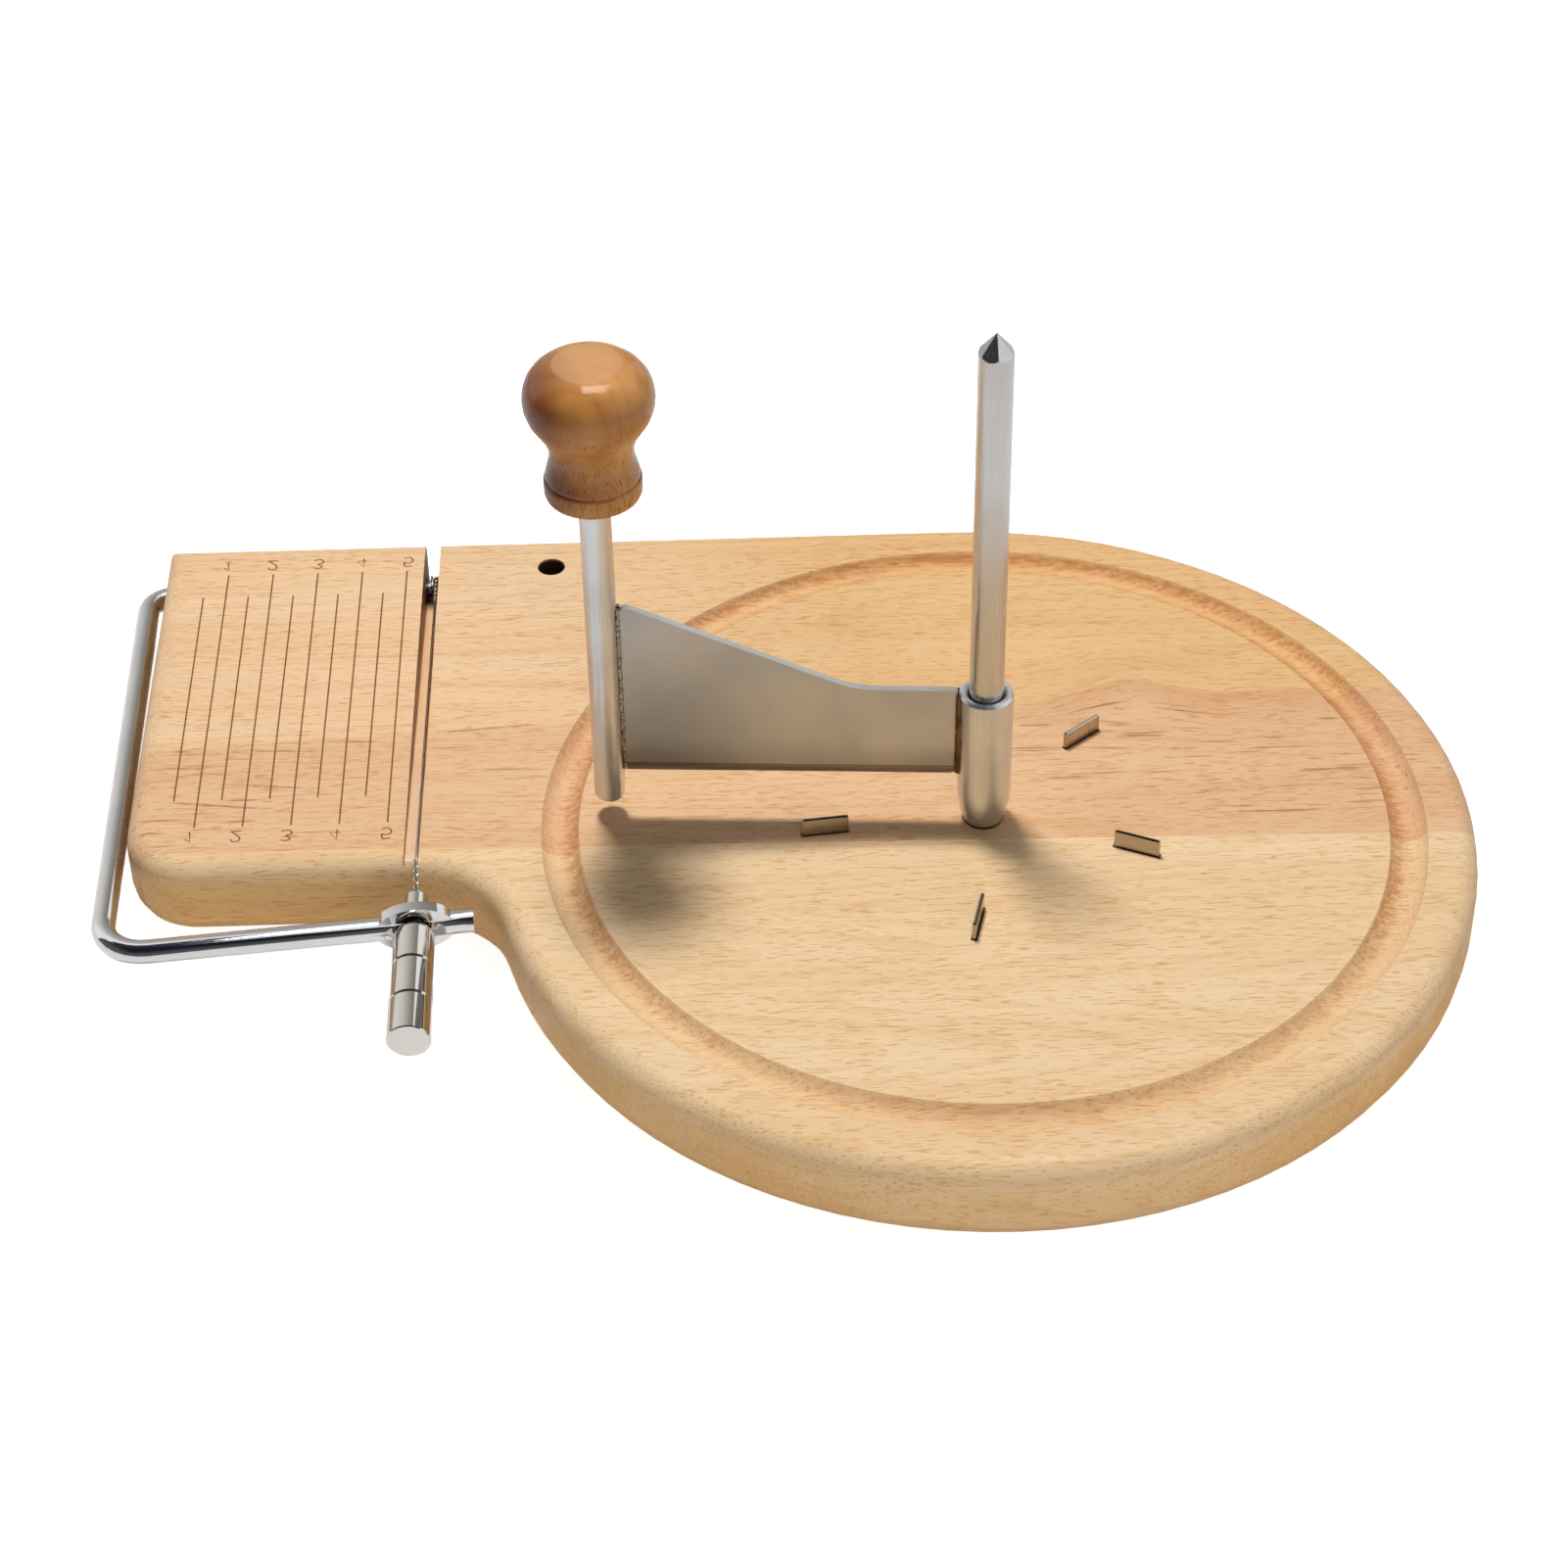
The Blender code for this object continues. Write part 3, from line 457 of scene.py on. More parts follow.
def groove_mask(tree, place, x, y, below):
    """How red the router left the groove at a point, with painted shade on its outer flank at the back."""
    squares = calculate(tree, "ADD", product(tree, x, x), product(tree, y, y))
    radius = calculate(tree, "SQRT", squares)
    ring = inside(tree, radius, GROOVE_RADIUS, GROOVE_HALF_WIDTH, GROOVE_BLUR)
    inner = spread(tree, radius, *INNER_FLANK, 1.0, 0.08)
    inner = product(tree, inner, spread(tree, y, *FRONT_OF_DISC, 0.4, 1.0))
    # the outer flank at the back: partly router burn, partly painted shade
    back_flank_burn_and_shade = product(tree, spread(tree, radius, *OUTER_FLANK), spread(tree, y, *BACK_OF_DISC, 0.0, 0.85))
    tick = spread(tree, noise_along(tree, place, TICK_SCALE, 2.0), *TICK_FADE)
    return product(tree, ring, calculate(tree, "MAXIMUM", inner, back_flank_burn_and_shade), tick, below)


def hole_shade_mask(tree, x, y, z):
    """1 in the hanging hole and in the wire's pocket, below the top, where painted shade darkens them."""
    square = (inside(tree, x, HOLE_PLACE[0], HOLE_REACH), inside(tree, y, HOLE_PLACE[1], HOLE_REACH))
    hole = product(tree, *square, below_top(tree, z))
    pocket = product(tree, inside(tree, x, SLOT_PLACE, POCKET_HALF_WIDTH), spread(tree, y, *POCKET_FADE))
    pocket = product(tree, pocket, spread(tree, z, *POCKET_DEPTHS, 1.0, 0.0))
    return calculate(tree, "MAXIMUM", hole, pocket)


def slot_masks(tree, x, y, below):
    """The slot's floor, painted paler as painted light at half strength, and its left wall, painted darker
    as painted shade.
    """
    length = product(tree, below, spread(tree, y, *SLOT_FRONT))
    floor = inside(tree, x, SLOT_PLACE, SLOT_HALF_FLOOR, SLOT_BLUR)
    wall = inside(tree, x, SLOT_PLACE - SLOT_HALF_WIDTH, WALL_HALF_LINE, SLOT_BLUR)
    return product(tree, floor, length, 0.5), product(tree, wall, length)


# %% Board beech
BEECH_BAND = (0.96, 0.92, 0.87, 1.0)
BEECH_RING = (0.945, 0.89, 0.82, 1.0)
BEECH_FIBRE = (0.97, 0.945, 0.91, 1.0)
BEECH_FLECK = (0.84, 0.71, 0.58, 1.0)
HEART_STREAK = (0.60, 0.45, 0.40, 1.0)
# router burn on the groove's flanks, and painted shade on its outer flank at the back
ROUTER_BURN_AND_SHADE = (0.80, 0.60, 0.45, 1.0)
# painted shade: the hanging hole and the wire's pocket are darkened
HOLE_SHADE = (0.12, 0.08, 0.05, 1.0)
# painted shade on the slot's left wall
SLOT_SHADE = (0.56, 0.47, 0.40, 1.0)
# painted shade: the sides are darker and browner below the top, most of all at the ends
SIDE_SHADE = (0.95, 0.78, 0.48, 1.0)
# painted light: the slot's shaded floor is blended towards this paler colour
SLOT_FLOOR_LIGHT = (0.80, 0.60, 0.41, 1.0)
SIDE_SHADE_DEPTHS = (0.0145, 0.0208)
SIDE_SHADE_ENDS = (0.02, 0.085)
BOARD_ROUGHNESS = (0.46, 0.56)
BOARD_RELIEF = 0.1
RELIEF_DEPTH = 0.0001


def build_board_material():
    """Two staves of beech under a thin oil finish."""
    material, tree, shader, place = open_material("beech_board", 0.0, 0.5)
    axes = add_node(tree, "ShaderNodeSeparateXYZ", {0: place}).outputs
    x, y, z = axes["X"], axes["Y"], axes["Z"]
    back = above_glue(tree, x, y)
    height, hump = above_heart(tree, x, y)
    along = grain_place(tree, place, back, height, hump)
    grain = use_group(tree, beech_grain, {"Along Grain": along, "Fleck Density": FLECK_DENSITY})
    below = below_top(tree, z)
    slot, wall = slot_masks(tree, x, y, below)
    # painted shade on the sides below the top, stronger towards the ends
    painted_side_shade = spread(tree, calculate(tree, "ABSOLUTE", x), *SIDE_SHADE_ENDS, 0.5, 1.0)
    painted_side_shade = product(tree, spread(tree, z, *SIDE_SHADE_DEPTHS, 1.0, 0.0), painted_side_shade)
    layers = [
        (grain["Band"], BEECH_BAND),
        (grain["Ring"], BEECH_RING),
        (grain["Fibre"], BEECH_FIBRE),
        (heart_streaks(tree, along, x, y, back, height), HEART_STREAK),
        (groove_mask(tree, place, x, y, below), ROUTER_BURN_AND_SHADE),
        (grain["Fleck"], BEECH_FLECK),
        (painted_side_shade, SIDE_SHADE),
        (wall, SLOT_SHADE),
    ]
    color = stave_color(tree, x, back, height)
    for mask, tint in layers:
        color = blend_colors(tree, mask, color, tint, "MULTIPLY")
    # painted light on the slot's floor
    color = blend_colors(tree, slot, color, SLOT_FLOOR_LIGHT)
    color = blend_colors(tree, hole_shade_mask(tree, x, y, z), color, HOLE_SHADE, "MULTIPLY")
    feed(tree, shader.inputs["Base Color"], color)
    feed(tree, shader.inputs["Roughness"], spread(tree, grain["Band"], 0.0, 1.0, *BOARD_ROUGHNESS))
    add_bump(tree, shader, grain["Relief"], BOARD_RELIEF, RELIEF_DEPTH)
    return material


board_beech = build_board_material()
print("board finish:", board_beech.name, "with", len(board_beech.node_tree.nodes), "nodes")

# %% [markdown]
# The knob is the same timber, but turned, steamed and lacquered, so it is darker
# and redder, with a shine. Its grain stands upright. A Mapping node turns the
# pattern by a quarter, so that the group's X runs up the knob. Its left side is
# darker as painted shade, with a wavy border between the two, and a band of painted
# shade lies on the flare above the ring. The flat crown is painted paler, as a
# painted sheen.

# %% Knob beech
KNOB_PALE = (0.56, 0.265, 0.075, 1.0)
KNOB_BAND = (0.70, 0.58, 0.46, 1.0)
# painted shade on the knob's left side
KNOB_LEFT_SHADE = (0.40, 0.25, 0.18, 1.0)
# painted shade on the flare above the ring
KNOB_SHADE = (0.55, 0.38, 0.32, 1.0)
KNOB_RING = (0.90, 0.84, 0.75, 1.0)
KNOB_FLECK = (0.66, 0.54, 0.40, 1.0)
# painted sheen: the flat crown is painted paler
KNOB_CROWN_SHEEN = (0.60, 0.36, 0.20, 1.0)
KNOB_AXIS = -0.0769
KNOB_LEFT_SHADE_REACH = (KNOB_AXIS - 0.0105, KNOB_AXIS)
KNOB_SHADE_REACH = (KNOB_AXIS - 0.004, KNOB_AXIS + 0.007)
KNOB_SHADE_RISE = (0.1076, 0.1079)
KNOB_SHADE_FALL = (0.1079, 0.1131)
KNOB_FLECK_FADE = (0.1220, 0.1280)
KNOB_CROWN_SHEEN_RISE = (0.13325, 0.13345)
KNOB_PATTERN_SHIFT = (0.013, 0.006, 0.021)
KNOB_PATTERN_TURN = (0, math.pi / 2 + 0.08, 0)
BORDER_SCALE = (30.0, 90.0, 110.0)
BORDER_SWING = 0.012
KNOB_ROUGHNESS = (0.34, 0.42)
KNOB_SPECULAR = 0.15
KNOB_COAT = 0.5
KNOB_COAT_ROUGHNESS = 0.12
KNOB_RELIEF = 0.15


def build_knob_material():
    """Dark lacquered beech with upright grain, painted shade on its left and a painted sheen on its crown.
    """
    material, tree, shader, place = open_material("lacquered_beech_knob", 0.0, 0.38)
    sockets = {"Vector": place, "Location": KNOB_PATTERN_SHIFT, "Rotation": KNOB_PATTERN_TURN}
    along = add_node(tree, "ShaderNodeMapping", sockets).outputs[0]
    grain = use_group(tree, beech_grain, {"Along Grain": along, "Fleck Density": FLECK_DENSITY})
    axes = add_node(tree, "ShaderNodeSeparateXYZ", {0: place}).outputs
    x, z = axes["X"], axes["Z"]
    # painted shade: the left side is darker, behind a wavy border
    border = noise_along(tree, place, BORDER_SCALE, 1.0)
    swing = calculate(tree, "MULTIPLY_ADD", border, BORDER_SWING, -BORDER_SWING / 2)
    across = calculate(tree, "ADD", x, swing)
    heart = spread(tree, across, *KNOB_LEFT_SHADE_REACH, 1.0, 0.0)
    # painted shade on the flare above the ring, strongest on the left
    shade = between(tree, z, KNOB_SHADE_RISE, KNOB_SHADE_FALL)
    shade = product(tree, shade, spread(tree, across, *KNOB_SHADE_REACH, 1.0, 0.2))
    fleck = product(tree, grain["Fleck"], spread(tree, z, *KNOB_FLECK_FADE, 1.0, 0.0))
    color = blend_colors(tree, grain["Band"], KNOB_PALE, KNOB_BAND, "MULTIPLY")
    color = blend_colors(tree, heart, color, KNOB_LEFT_SHADE, "MULTIPLY")
    color = blend_colors(tree, grain["Ring"], color, KNOB_RING, "MULTIPLY")
    color = blend_colors(tree, shade, color, KNOB_SHADE, "MULTIPLY")
    color = blend_colors(tree, fleck, color, KNOB_FLECK, "MULTIPLY")
    # painted sheen on the flat crown
    color = blend_colors(tree, spread(tree, z, *KNOB_CROWN_SHEEN_RISE, 0.0, 0.4), color, KNOB_CROWN_SHEEN)
    feed(tree, shader.inputs["Base Color"], color)
    feed(tree, shader.inputs["Roughness"], spread(tree, grain["Band"], 0.0, 1.0, *KNOB_ROUGHNESS))
    shader.inputs["Specular IOR Level"].default_value = KNOB_SPECULAR
    shader.inputs["Coat Weight"].default_value = KNOB_COAT
    shader.inputs["Coat Roughness"].default_value = KNOB_COAT_ROUGHNESS
    add_bump(tree, shader, grain["Relief"], KNOB_RELIEF, RELIEF_DEPTH)
    return material


knob_beech = build_knob_material()
print("knob finish:", knob_beech.name)

# %% [markdown]
# ## Metals
#
# All the steel here was drawn, turned or ground, and each leaves fine lines in
# one direction. One group makes such lines from stretched noise. The spindle,
# sleeve and crank rod have lines along their length, and the blade is brushed
# along its own. Chrome has no lines, only faint waves and a few soft smears.

# %% Drawn metal group
STAIN_SCALE = (60.0, 60.0, 60.0)
LINE_FADE = (0.3, 0.7)
STAIN_FADE = (0.35, 0.65)


def build_drawn_lines():
    """Fine lines along one axis, broad stains and a height for the bump."""
    inputs = [("Place", VECTOR, (0, 0, 0)), ("Line Scale", VECTOR, (2000, 2000, 30))]
    outputs = [("Line", FLOAT), ("Stain", FLOAT)]
    tree, given, wanted = open_group("drawn_lines", inputs, outputs)
    line = noise_along(tree, given["Place"], given["Line Scale"], 3.0)
    stain = noise_along(tree, given["Place"], STAIN_SCALE, 2.0)
    feed(tree, wanted["Line"], spread(tree, line, *LINE_FADE))
    feed(tree, wanted["Stain"], spread(tree, stain, *STAIN_FADE))
    return tree


drawn_lines = build_drawn_lines()
print("drawn metal gives", [item.name for item in drawn_lines.interface.items_tree][:2])

# %% Metal helper
LINE_DEPTH = 0.00004
LINE_STRENGTH = 0.15
EVEN_SHARE = 0.8
STAIN_SHARE = 0.25
LINE_SHARE = 0.2


def build_metal(name, color, roughness, lines, depth, dullness):
    """A metal whose tone and gloss follow fine lines and faint stains."""
    material, tree, shader, place = open_material(name, 1.0, roughness)
    marks = use_group(tree, drawn_lines, {"Place": place, "Line Scale": lines})
    dark = tuple(value * (1.0 - depth) for value in color)
    tone = blend_colors(tree, marks["Line"], (*dark, 1.0), (*color, 1.0))
    shade = 1.0 - dullness
    tone = blend_colors(tree, marks["Stain"], tone, (shade, shade, shade, 1.0), "MULTIPLY")
    feed(tree, shader.inputs["Base Color"], tone)
    worn = calculate(tree, "MULTIPLY_ADD", marks["Stain"], roughness * STAIN_SHARE, roughness * EVEN_SHARE)
    rough = calculate(tree, "MULTIPLY_ADD", marks["Line"], roughness * LINE_SHARE, worn)
    feed(tree, shader.inputs["Roughness"], rough)
    add_bump(tree, shader, marks["Line"], LINE_STRENGTH, LINE_DEPTH)
    return material


# %% Metal finishes
UP_LINES = (6000.0, 6000.0, 60.0)
ALONG_LINES = (70.0, 5000.0, 5000.0)
CHROME_WAVES = (90.0, 90.0, 90.0)
HANDLE_WAVES = (60.0, 60.0, 60.0)
WELD_SPECKS = (1500.0, 1500.0, 1500.0)
SLEEVE_WELD_SPECKS = (900.0, 900.0, 300.0)
STAINLESS = (0.64, 0.63, 0.62)
BLADE_GREY = (0.54, 0.545, 0.54)
TUBE_GREY = (0.73, 0.745, 0.765)
STRIP_GREY = (0.50, 0.44, 0.36)
CHROME = (0.72, 0.72, 0.735)
HANDLE_CHROME = (0.74, 0.71, 0.67)
BRASS = (0.70, 0.50, 0.22)
WELD_GREY = (0.62, 0.57, 0.50)
# painted shade and painted reflection: the dark brown of the bead beside the sleeve
WELD_SHADE_BROWN = (0.20, 0.115, 0.07)
TWIST_BRIGHT = (0.88, 0.85, 0.80)
# steel grey, warmed by a painted reflection of the wood
WIRE_GREY_AND_WOOD_REFLECTION = (0.60, 0.53, 0.45)

spindle_steel = build_metal("satin_stainless", STAINLESS, 0.23, UP_LINES, 0.09, 0.06)
tube_steel = build_metal("ground_tube", TUBE_GREY, 0.34, UP_LINES, 0.09, 0.08)
blade_steel = build_metal("brushed_blade", BLADE_GREY, 0.42, ALONG_LINES, 0.06, 0.06)
prong_steel = build_metal("bright_strip", STRIP_GREY, 0.16, ALONG_LINES, 0.08, 0.05)
chrome = build_metal("mirror_chrome", CHROME, 0.05, CHROME_WAVES, 0.03, 0.03)
handle_chrome = build_metal("turned_chrome", HANDLE_CHROME, 0.09, HANDLE_WAVES, 0.03, 0.04)
wire_steel = build_metal("drawn_wire", WIRE_GREY_AND_WOOD_REFLECTION, 0.28, ALONG_LINES, 0.1, 0.05)
twist_steel = build_metal("bright_wire", TWIST_BRIGHT, 0.2, ALONG_LINES, 0.1, 0.05)
weld_steel = build_metal("weld_bead", WELD_GREY, 0.35, WELD_SPECKS, 0.85, 0.15)
# the sleeve's weld, painted dark as shade and the blade's reflection in that corner
weld_shade_steel = build_metal("weld_in_shade", WELD_SHADE_BROWN, 0.30, SLEEVE_WELD_SPECKS, 0.5, 0.15)
insert_brass = build_metal("turned_brass", BRASS, 0.3, UP_LINES, 0.1, 0.05)
print("finishes so far:", len(bpy.data.materials))

# %% Ground edge and painted shade of the blade
EDGE_TOP = 0.0360
EDGE_BLUR = 0.0002
EDGE_FADE = 0.007
LINE_HALF = 0.0001
LINE_BLUR = 0.00015
EDGE_BAND = (0.70, 0.62, 0.60, 1.0)
EDGE_LINE = (0.55, 0.50, 0.48, 1.0)
EDGE_SHADE = (0.80, 0.75, 0.72, 1.0)


def grind_edge_and_shade(material):
    """A dark ground band along the blade's lower edge, a fine line above it and a soft painted shade that
    fades out above the band.
    """
    tree = material.node_tree
    color = tree.nodes["Principled BSDF"].inputs["Base Color"]
    place = tree.nodes["Texture Coordinate"].outputs["Object"]
    z = add_node(tree, "ShaderNodeSeparateXYZ", {0: place}).outputs["Z"]
    band = spread(tree, z, EDGE_TOP - EDGE_BLUR, EDGE_TOP, 1.0, 0.0)
    tone = blend_colors(tree, band, color.links[0].from_socket, EDGE_BAND, "MULTIPLY")
    # painted shade: the blade darkens softly towards its ground band
    soft = spread(tree, z, EDGE_TOP, EDGE_TOP + EDGE_FADE, 1.0, 0.0)
    tone = blend_colors(tree, soft, tone, EDGE_SHADE, "MULTIPLY")
    line = inside(tree, z, EDGE_TOP, LINE_HALF, LINE_BLUR)
    feed(tree, color, blend_colors(tree, line, tone, EDGE_LINE, "MULTIPLY"))


grind_edge_and_shade(blade_steel)
print("blade finish:", blade_steel.name)

# %% [markdown]
# ## Smooth copies of the solids
#
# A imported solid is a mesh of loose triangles, so it renders with flat facets. Its
# copy has its doubles merged and its flat faces joined, and it is shaded smooth
# except at real edges. A Weighted Normal modifier then keeps large flat faces
# flat beside a rounded rim. The spindle's copy is turned a little about its own
# axis, so that the six faces of its point lie as in the photograph.

# %% Mesh helpers
SHARP_ANGLE = math.radians(32.0)
ROUND_ANGLE = math.radians(60.0)
MERGE_DISTANCE = 0.000001


def mesh_from(bm, name):
    """Turns a bmesh into a mesh and frees it."""
    mesh = bpy.data.meshes.new(name)
    bm.to_mesh(mesh)
    bm.free()
    return mesh


def finish_piece(mesh, name, material, body, replaced=None):
    """Puts a mesh into the scene as a piece that moves with a body."""
    piece = place_object(name, mesh)
    mesh.materials.clear()
    mesh.materials.append(material)
    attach(piece, body)
    if replaced:
        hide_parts(replaced)
    return piece


def shade_smooth(bm, angle=SHARP_ANGLE):
    """Smooth faces, with sharp edges where two faces meet at more than an angle."""
    for face in bm.faces:
        face.smooth = True
    for edge in bm.edges:
        edge.smooth = len(edge.link_faces) == 2 and edge.calc_face_angle() < angle


# %% Copy helper
FLAT_ANGLE = math.radians(0.2)
BEVEL_ANGLE = math.radians(36.0)
BEVEL_SEGMENTS = 3


def smooth_copy(node, name, material, body, angle=SHARP_ANGLE, rim=0.0, turn=0.0):
    """A merged and smooth copy of a solid, shown in its place, with its sharp rims rounded."""
    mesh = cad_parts[node].data.copy()
    mesh.name = name
    bm = bmesh.new()
    bm.from_mesh(mesh)
    bmesh.ops.remove_doubles(bm, verts=bm.verts, dist=MERGE_DISTANCE)
    bmesh.ops.dissolve_limit(bm, angle_limit=FLAT_ANGLE, verts=bm.verts, edges=bm.edges)
    bmesh.ops.transform(bm, matrix=Matrix.Rotation(turn, 4, "Z"), verts=bm.verts)
    shade_smooth(bm, angle)
    bm.to_mesh(mesh)
    bm.free()
    piece = finish_piece(mesh, name, material, body, node)
    if rim:
        bevel = piece.modifiers.new("rounded_rim", "BEVEL")
        bevel.width = rim
        bevel.segments = BEVEL_SEGMENTS
        bevel.limit_method = "ANGLE"
        bevel.angle_limit = BEVEL_ANGLE
    weights = piece.modifiers.new("even_shading", "WEIGHTED_NORMAL")
    weights.keep_sharp = True
    return piece


# %% Board, spindle and prongs
TIP_TURN = math.radians(22.0)
SPINDLE_RIM = 0.00022
PRONG_COUNT = 5

board = smooth_copy("board", "board_wood", board_beech, "base")
smooth_copy("spindle", "spindle_rod", spindle_steel, "base", rim=SPINDLE_RIM, turn=TIP_TURN)
for number in range(1, PRONG_COUNT + 1):
    smooth_copy(f"prong_{number}", f"prong_strip_{number}", prong_steel, "base")
insert_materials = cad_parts["spindle_insert"].data.materials
insert_materials.clear()
insert_materials.append(insert_brass)
print("board faces after joining:", len(board.data.polygons))

# %% Scraper and bow
BOW_ANGLE = math.radians(40.0)
BOW_RIM = 0.0012

smooth_copy("scraper_sleeve", "sleeve_tube", tube_steel, "sleeve")
smooth_copy("scraper_blade", "blade_plate", blade_steel, "scraper")
smooth_copy("crank_rod", "crank_upright", tube_steel, "scraper")
smooth_copy("slicer_bow", "bow_rod", chrome, "bow", BOW_ANGLE, BOW_RIM)
smooth_copy("tension_pin", "pin_rod", handle_chrome, "bow")
smooth_copy("tension_handle", "handle_grip", handle_chrome, "handle")

# %% [markdown]
# ## The knob
#
# A wood turner makes the knob from the side: a flat ring at the foot, a waist and
# a round head. In Blender the same is a profile that is spun about the rod's
# axis. The ring has a shallow crease above it where the turner's tool stopped, and
# the crown is cut flat, where the turner parted the knob off.

# %% Knob profile
REST_TURN = math.radians(176.5)
CRANK_DISTANCE = 0.077
KNOB_BOTTOM = 0.1034
KNOB_ANGLE = math.radians(50.0)
KNOB_POINTS = [
    (0.0033, 0.0000),
    (0.0084, 0.0000),
    (0.0093, 0.0004),
    (0.0096, 0.0012),
    (0.0096, 0.0039),
    (0.0094, 0.0043),
    (0.0091, 0.0045),
    (0.0093, 0.0048),
    (0.0092, 0.0055),
    (0.0088, 0.0070),
    (0.0084, 0.0086),
    (0.0082, 0.0101),
    (0.0084, 0.0117),
    (0.0092, 0.0140),
    (0.0104, 0.0160),
    (0.0119, 0.0184),
    (0.0126, 0.0205),
    (0.0128, 0.0222),
    (0.0126, 0.0241),
    (0.0120, 0.0259),
    (0.0109, 0.0275),
    (0.0094, 0.0288),
    (0.0078, 0.0296),
    (0.0066, 0.0300),
    (0.0057, 0.0301),
    (0.0000, 0.0301),
]
SPIN_STEPS = 72


def spin_profile(points, low, center):
    """Spins a profile of radius and height once round an upright axis."""
    bm = bmesh.new()
    verts = [bm.verts.new((center.x + radius, center.y, low + height)) for radius, height in points]
    edges = [bm.edges.new(pair) for pair in zip(verts, verts[1:])]
    options = {"cent": center, "axis": (0, 0, 1), "angle": math.tau, "steps": SPIN_STEPS}
    bmesh.ops.spin(bm, geom=verts + edges, use_merge=True, **options)
    bmesh.ops.remove_doubles(bm, verts=bm.verts, dist=MERGE_DISTANCE)
    bmesh.ops.recalc_face_normals(bm, faces=bm.faces)
    return bm


# %% Knob
crank_axis = Vector((math.cos(REST_TURN), math.sin(REST_TURN), 0.0)) * CRANK_DISTANCE
bm = spin_profile(KNOB_POINTS, KNOB_BOTTOM, crank_axis)
shade_smooth(bm, KNOB_ANGLE)
knob_mesh = mesh_from(bm, "knob_turned")
finish_piece(knob_mesh, "knob_turned", knob_beech, "scraper", "crank_knob")
print("knob faces:", len(knob_mesh.polygons))

# %% [markdown]
# ## The scale
#
# Thin lines for the thickness of a slice are burned into the platform, with the
# numbers 1 to 5 at both ends. They are far thinner than any bump could show, so
# each is a flat strip a few hundredths of a millimetre thick on the wood. A curve
# with a small bevel follows each stroke and is then pressed flat. A number is
# drawn in a box one wide and one high, and each stands where its stamp was set,
# which was never quite in line.

# %% Strokes of the numbers
SCALE_LEFT = -0.1682
SCALE_STEP = 0.010
LONG_LINE = (0.0898, 0.0034)
SHORT_LINE = (0.0818, 0.0120)
STROKE_RADIUS = 0.00017
STROKE_SQUASH = 0.25
DIGIT_HEIGHT = 0.0032
DIGIT_WIDTH = 0.0021
DIGITS = {
    1: [[(0.1, 0.70), (0.60, 1.0), (0.45, 0.0)]],
    2: [
        [(0.05, 0.78), (0.25, 0.98), (0.75, 0.98), (0.95, 0.72), (0.6, 0.36), (0.0, 0.0)],
        [(0.0, 0.0), (1.0, 0.0)],
    ],
    3: [
        [(0.0, 0.95), (0.6, 1.0), (0.9, 0.76), (0.4, 0.55)],
        [(0.4, 0.55), (1.0, 0.36), (0.85, 0.05), (0.4, 0.0), (0.0, 0.12)],
    ],
    4: [[(0.7, 0.0), (0.7, 1.0), (0.0, 0.3), (1.0, 0.3)]],
    5: [
        [(0.95, 1.0), (0.2, 1.0), (0.05, 0.56)],
        [(0.05, 0.56), (0.55, 0.66), (1.0, 0.42), (0.8, 0.05), (0.4, 0.0), (0.0, 0.1)],
    ],
}
ROUND_DIGITS = (2, 3, 5)
BACK_DIGITS_X = (-0.1636, -0.1536, -0.1433, -0.1335, -0.1231)
BACK_DIGITS_Y = (0.0932, 0.0932, 0.0932, 0.0932, 0.0931)
FRONT_DIGITS_X = (-0.1639, -0.1544, -0.1439, -0.1339, -0.1233)
FRONT_DIGITS_Y = (0.0005, 0.0003, 0.0002, 0.0000, 0.0000)
ROUNDING_STEPS = 5


def rounded_stroke(points):
    """A smooth line through a stroke's points, by Catmull-Rom spans."""
    knots = [Vector(point) for point in points]
    knots = [2 * knots[0] - knots[1], *knots, 2 * knots[-1] - knots[-2]]
    line = []
    for before, start, end, after in zip(knots, knots[1:], knots[2:], knots[3:]):
        for step in range(ROUNDING_STEPS):
            share = step / ROUNDING_STEPS
            square = (2 * before - 5 * start + 4 * end - after) * share**2
            cube = (3 * start - before - 3 * end + after) * share**3
            line.append((2 * start + (end - before) * share + square + cube) / 2)
    return [*line, knots[-2]]


def digit_strokes(number, x, y):
    """A number's strokes about a place, drawn upside down as in the photograph."""
    strokes = []
    for stroke in DIGITS[number]:
        if number in ROUND_DIGITS and len(stroke) > 2:
            stroke = rounded_stroke(stroke)
        places = [(x + (across - 0.5) * DIGIT_WIDTH, y - (up - 0.5) * DIGIT_HEIGHT) for across, up in stroke]
        strokes.append(places)
    return strokes


# %% Strokes of the scale
strokes = []
for step in range(len(DIGITS)):
    x = SCALE_LEFT + SCALE_STEP * step
    strokes.append([(x, y) for y in SHORT_LINE])
    strokes.append([(x + SCALE_STEP / 2, y) for y in LONG_LINE])
    strokes += digit_strokes(step + 1, BACK_DIGITS_X[step], BACK_DIGITS_Y[step])
    strokes += digit_strokes(step + 1, FRONT_DIGITS_X[step], FRONT_DIGITS_Y[step])
print("strokes:", len(strokes))

# %% Curves made into a mesh


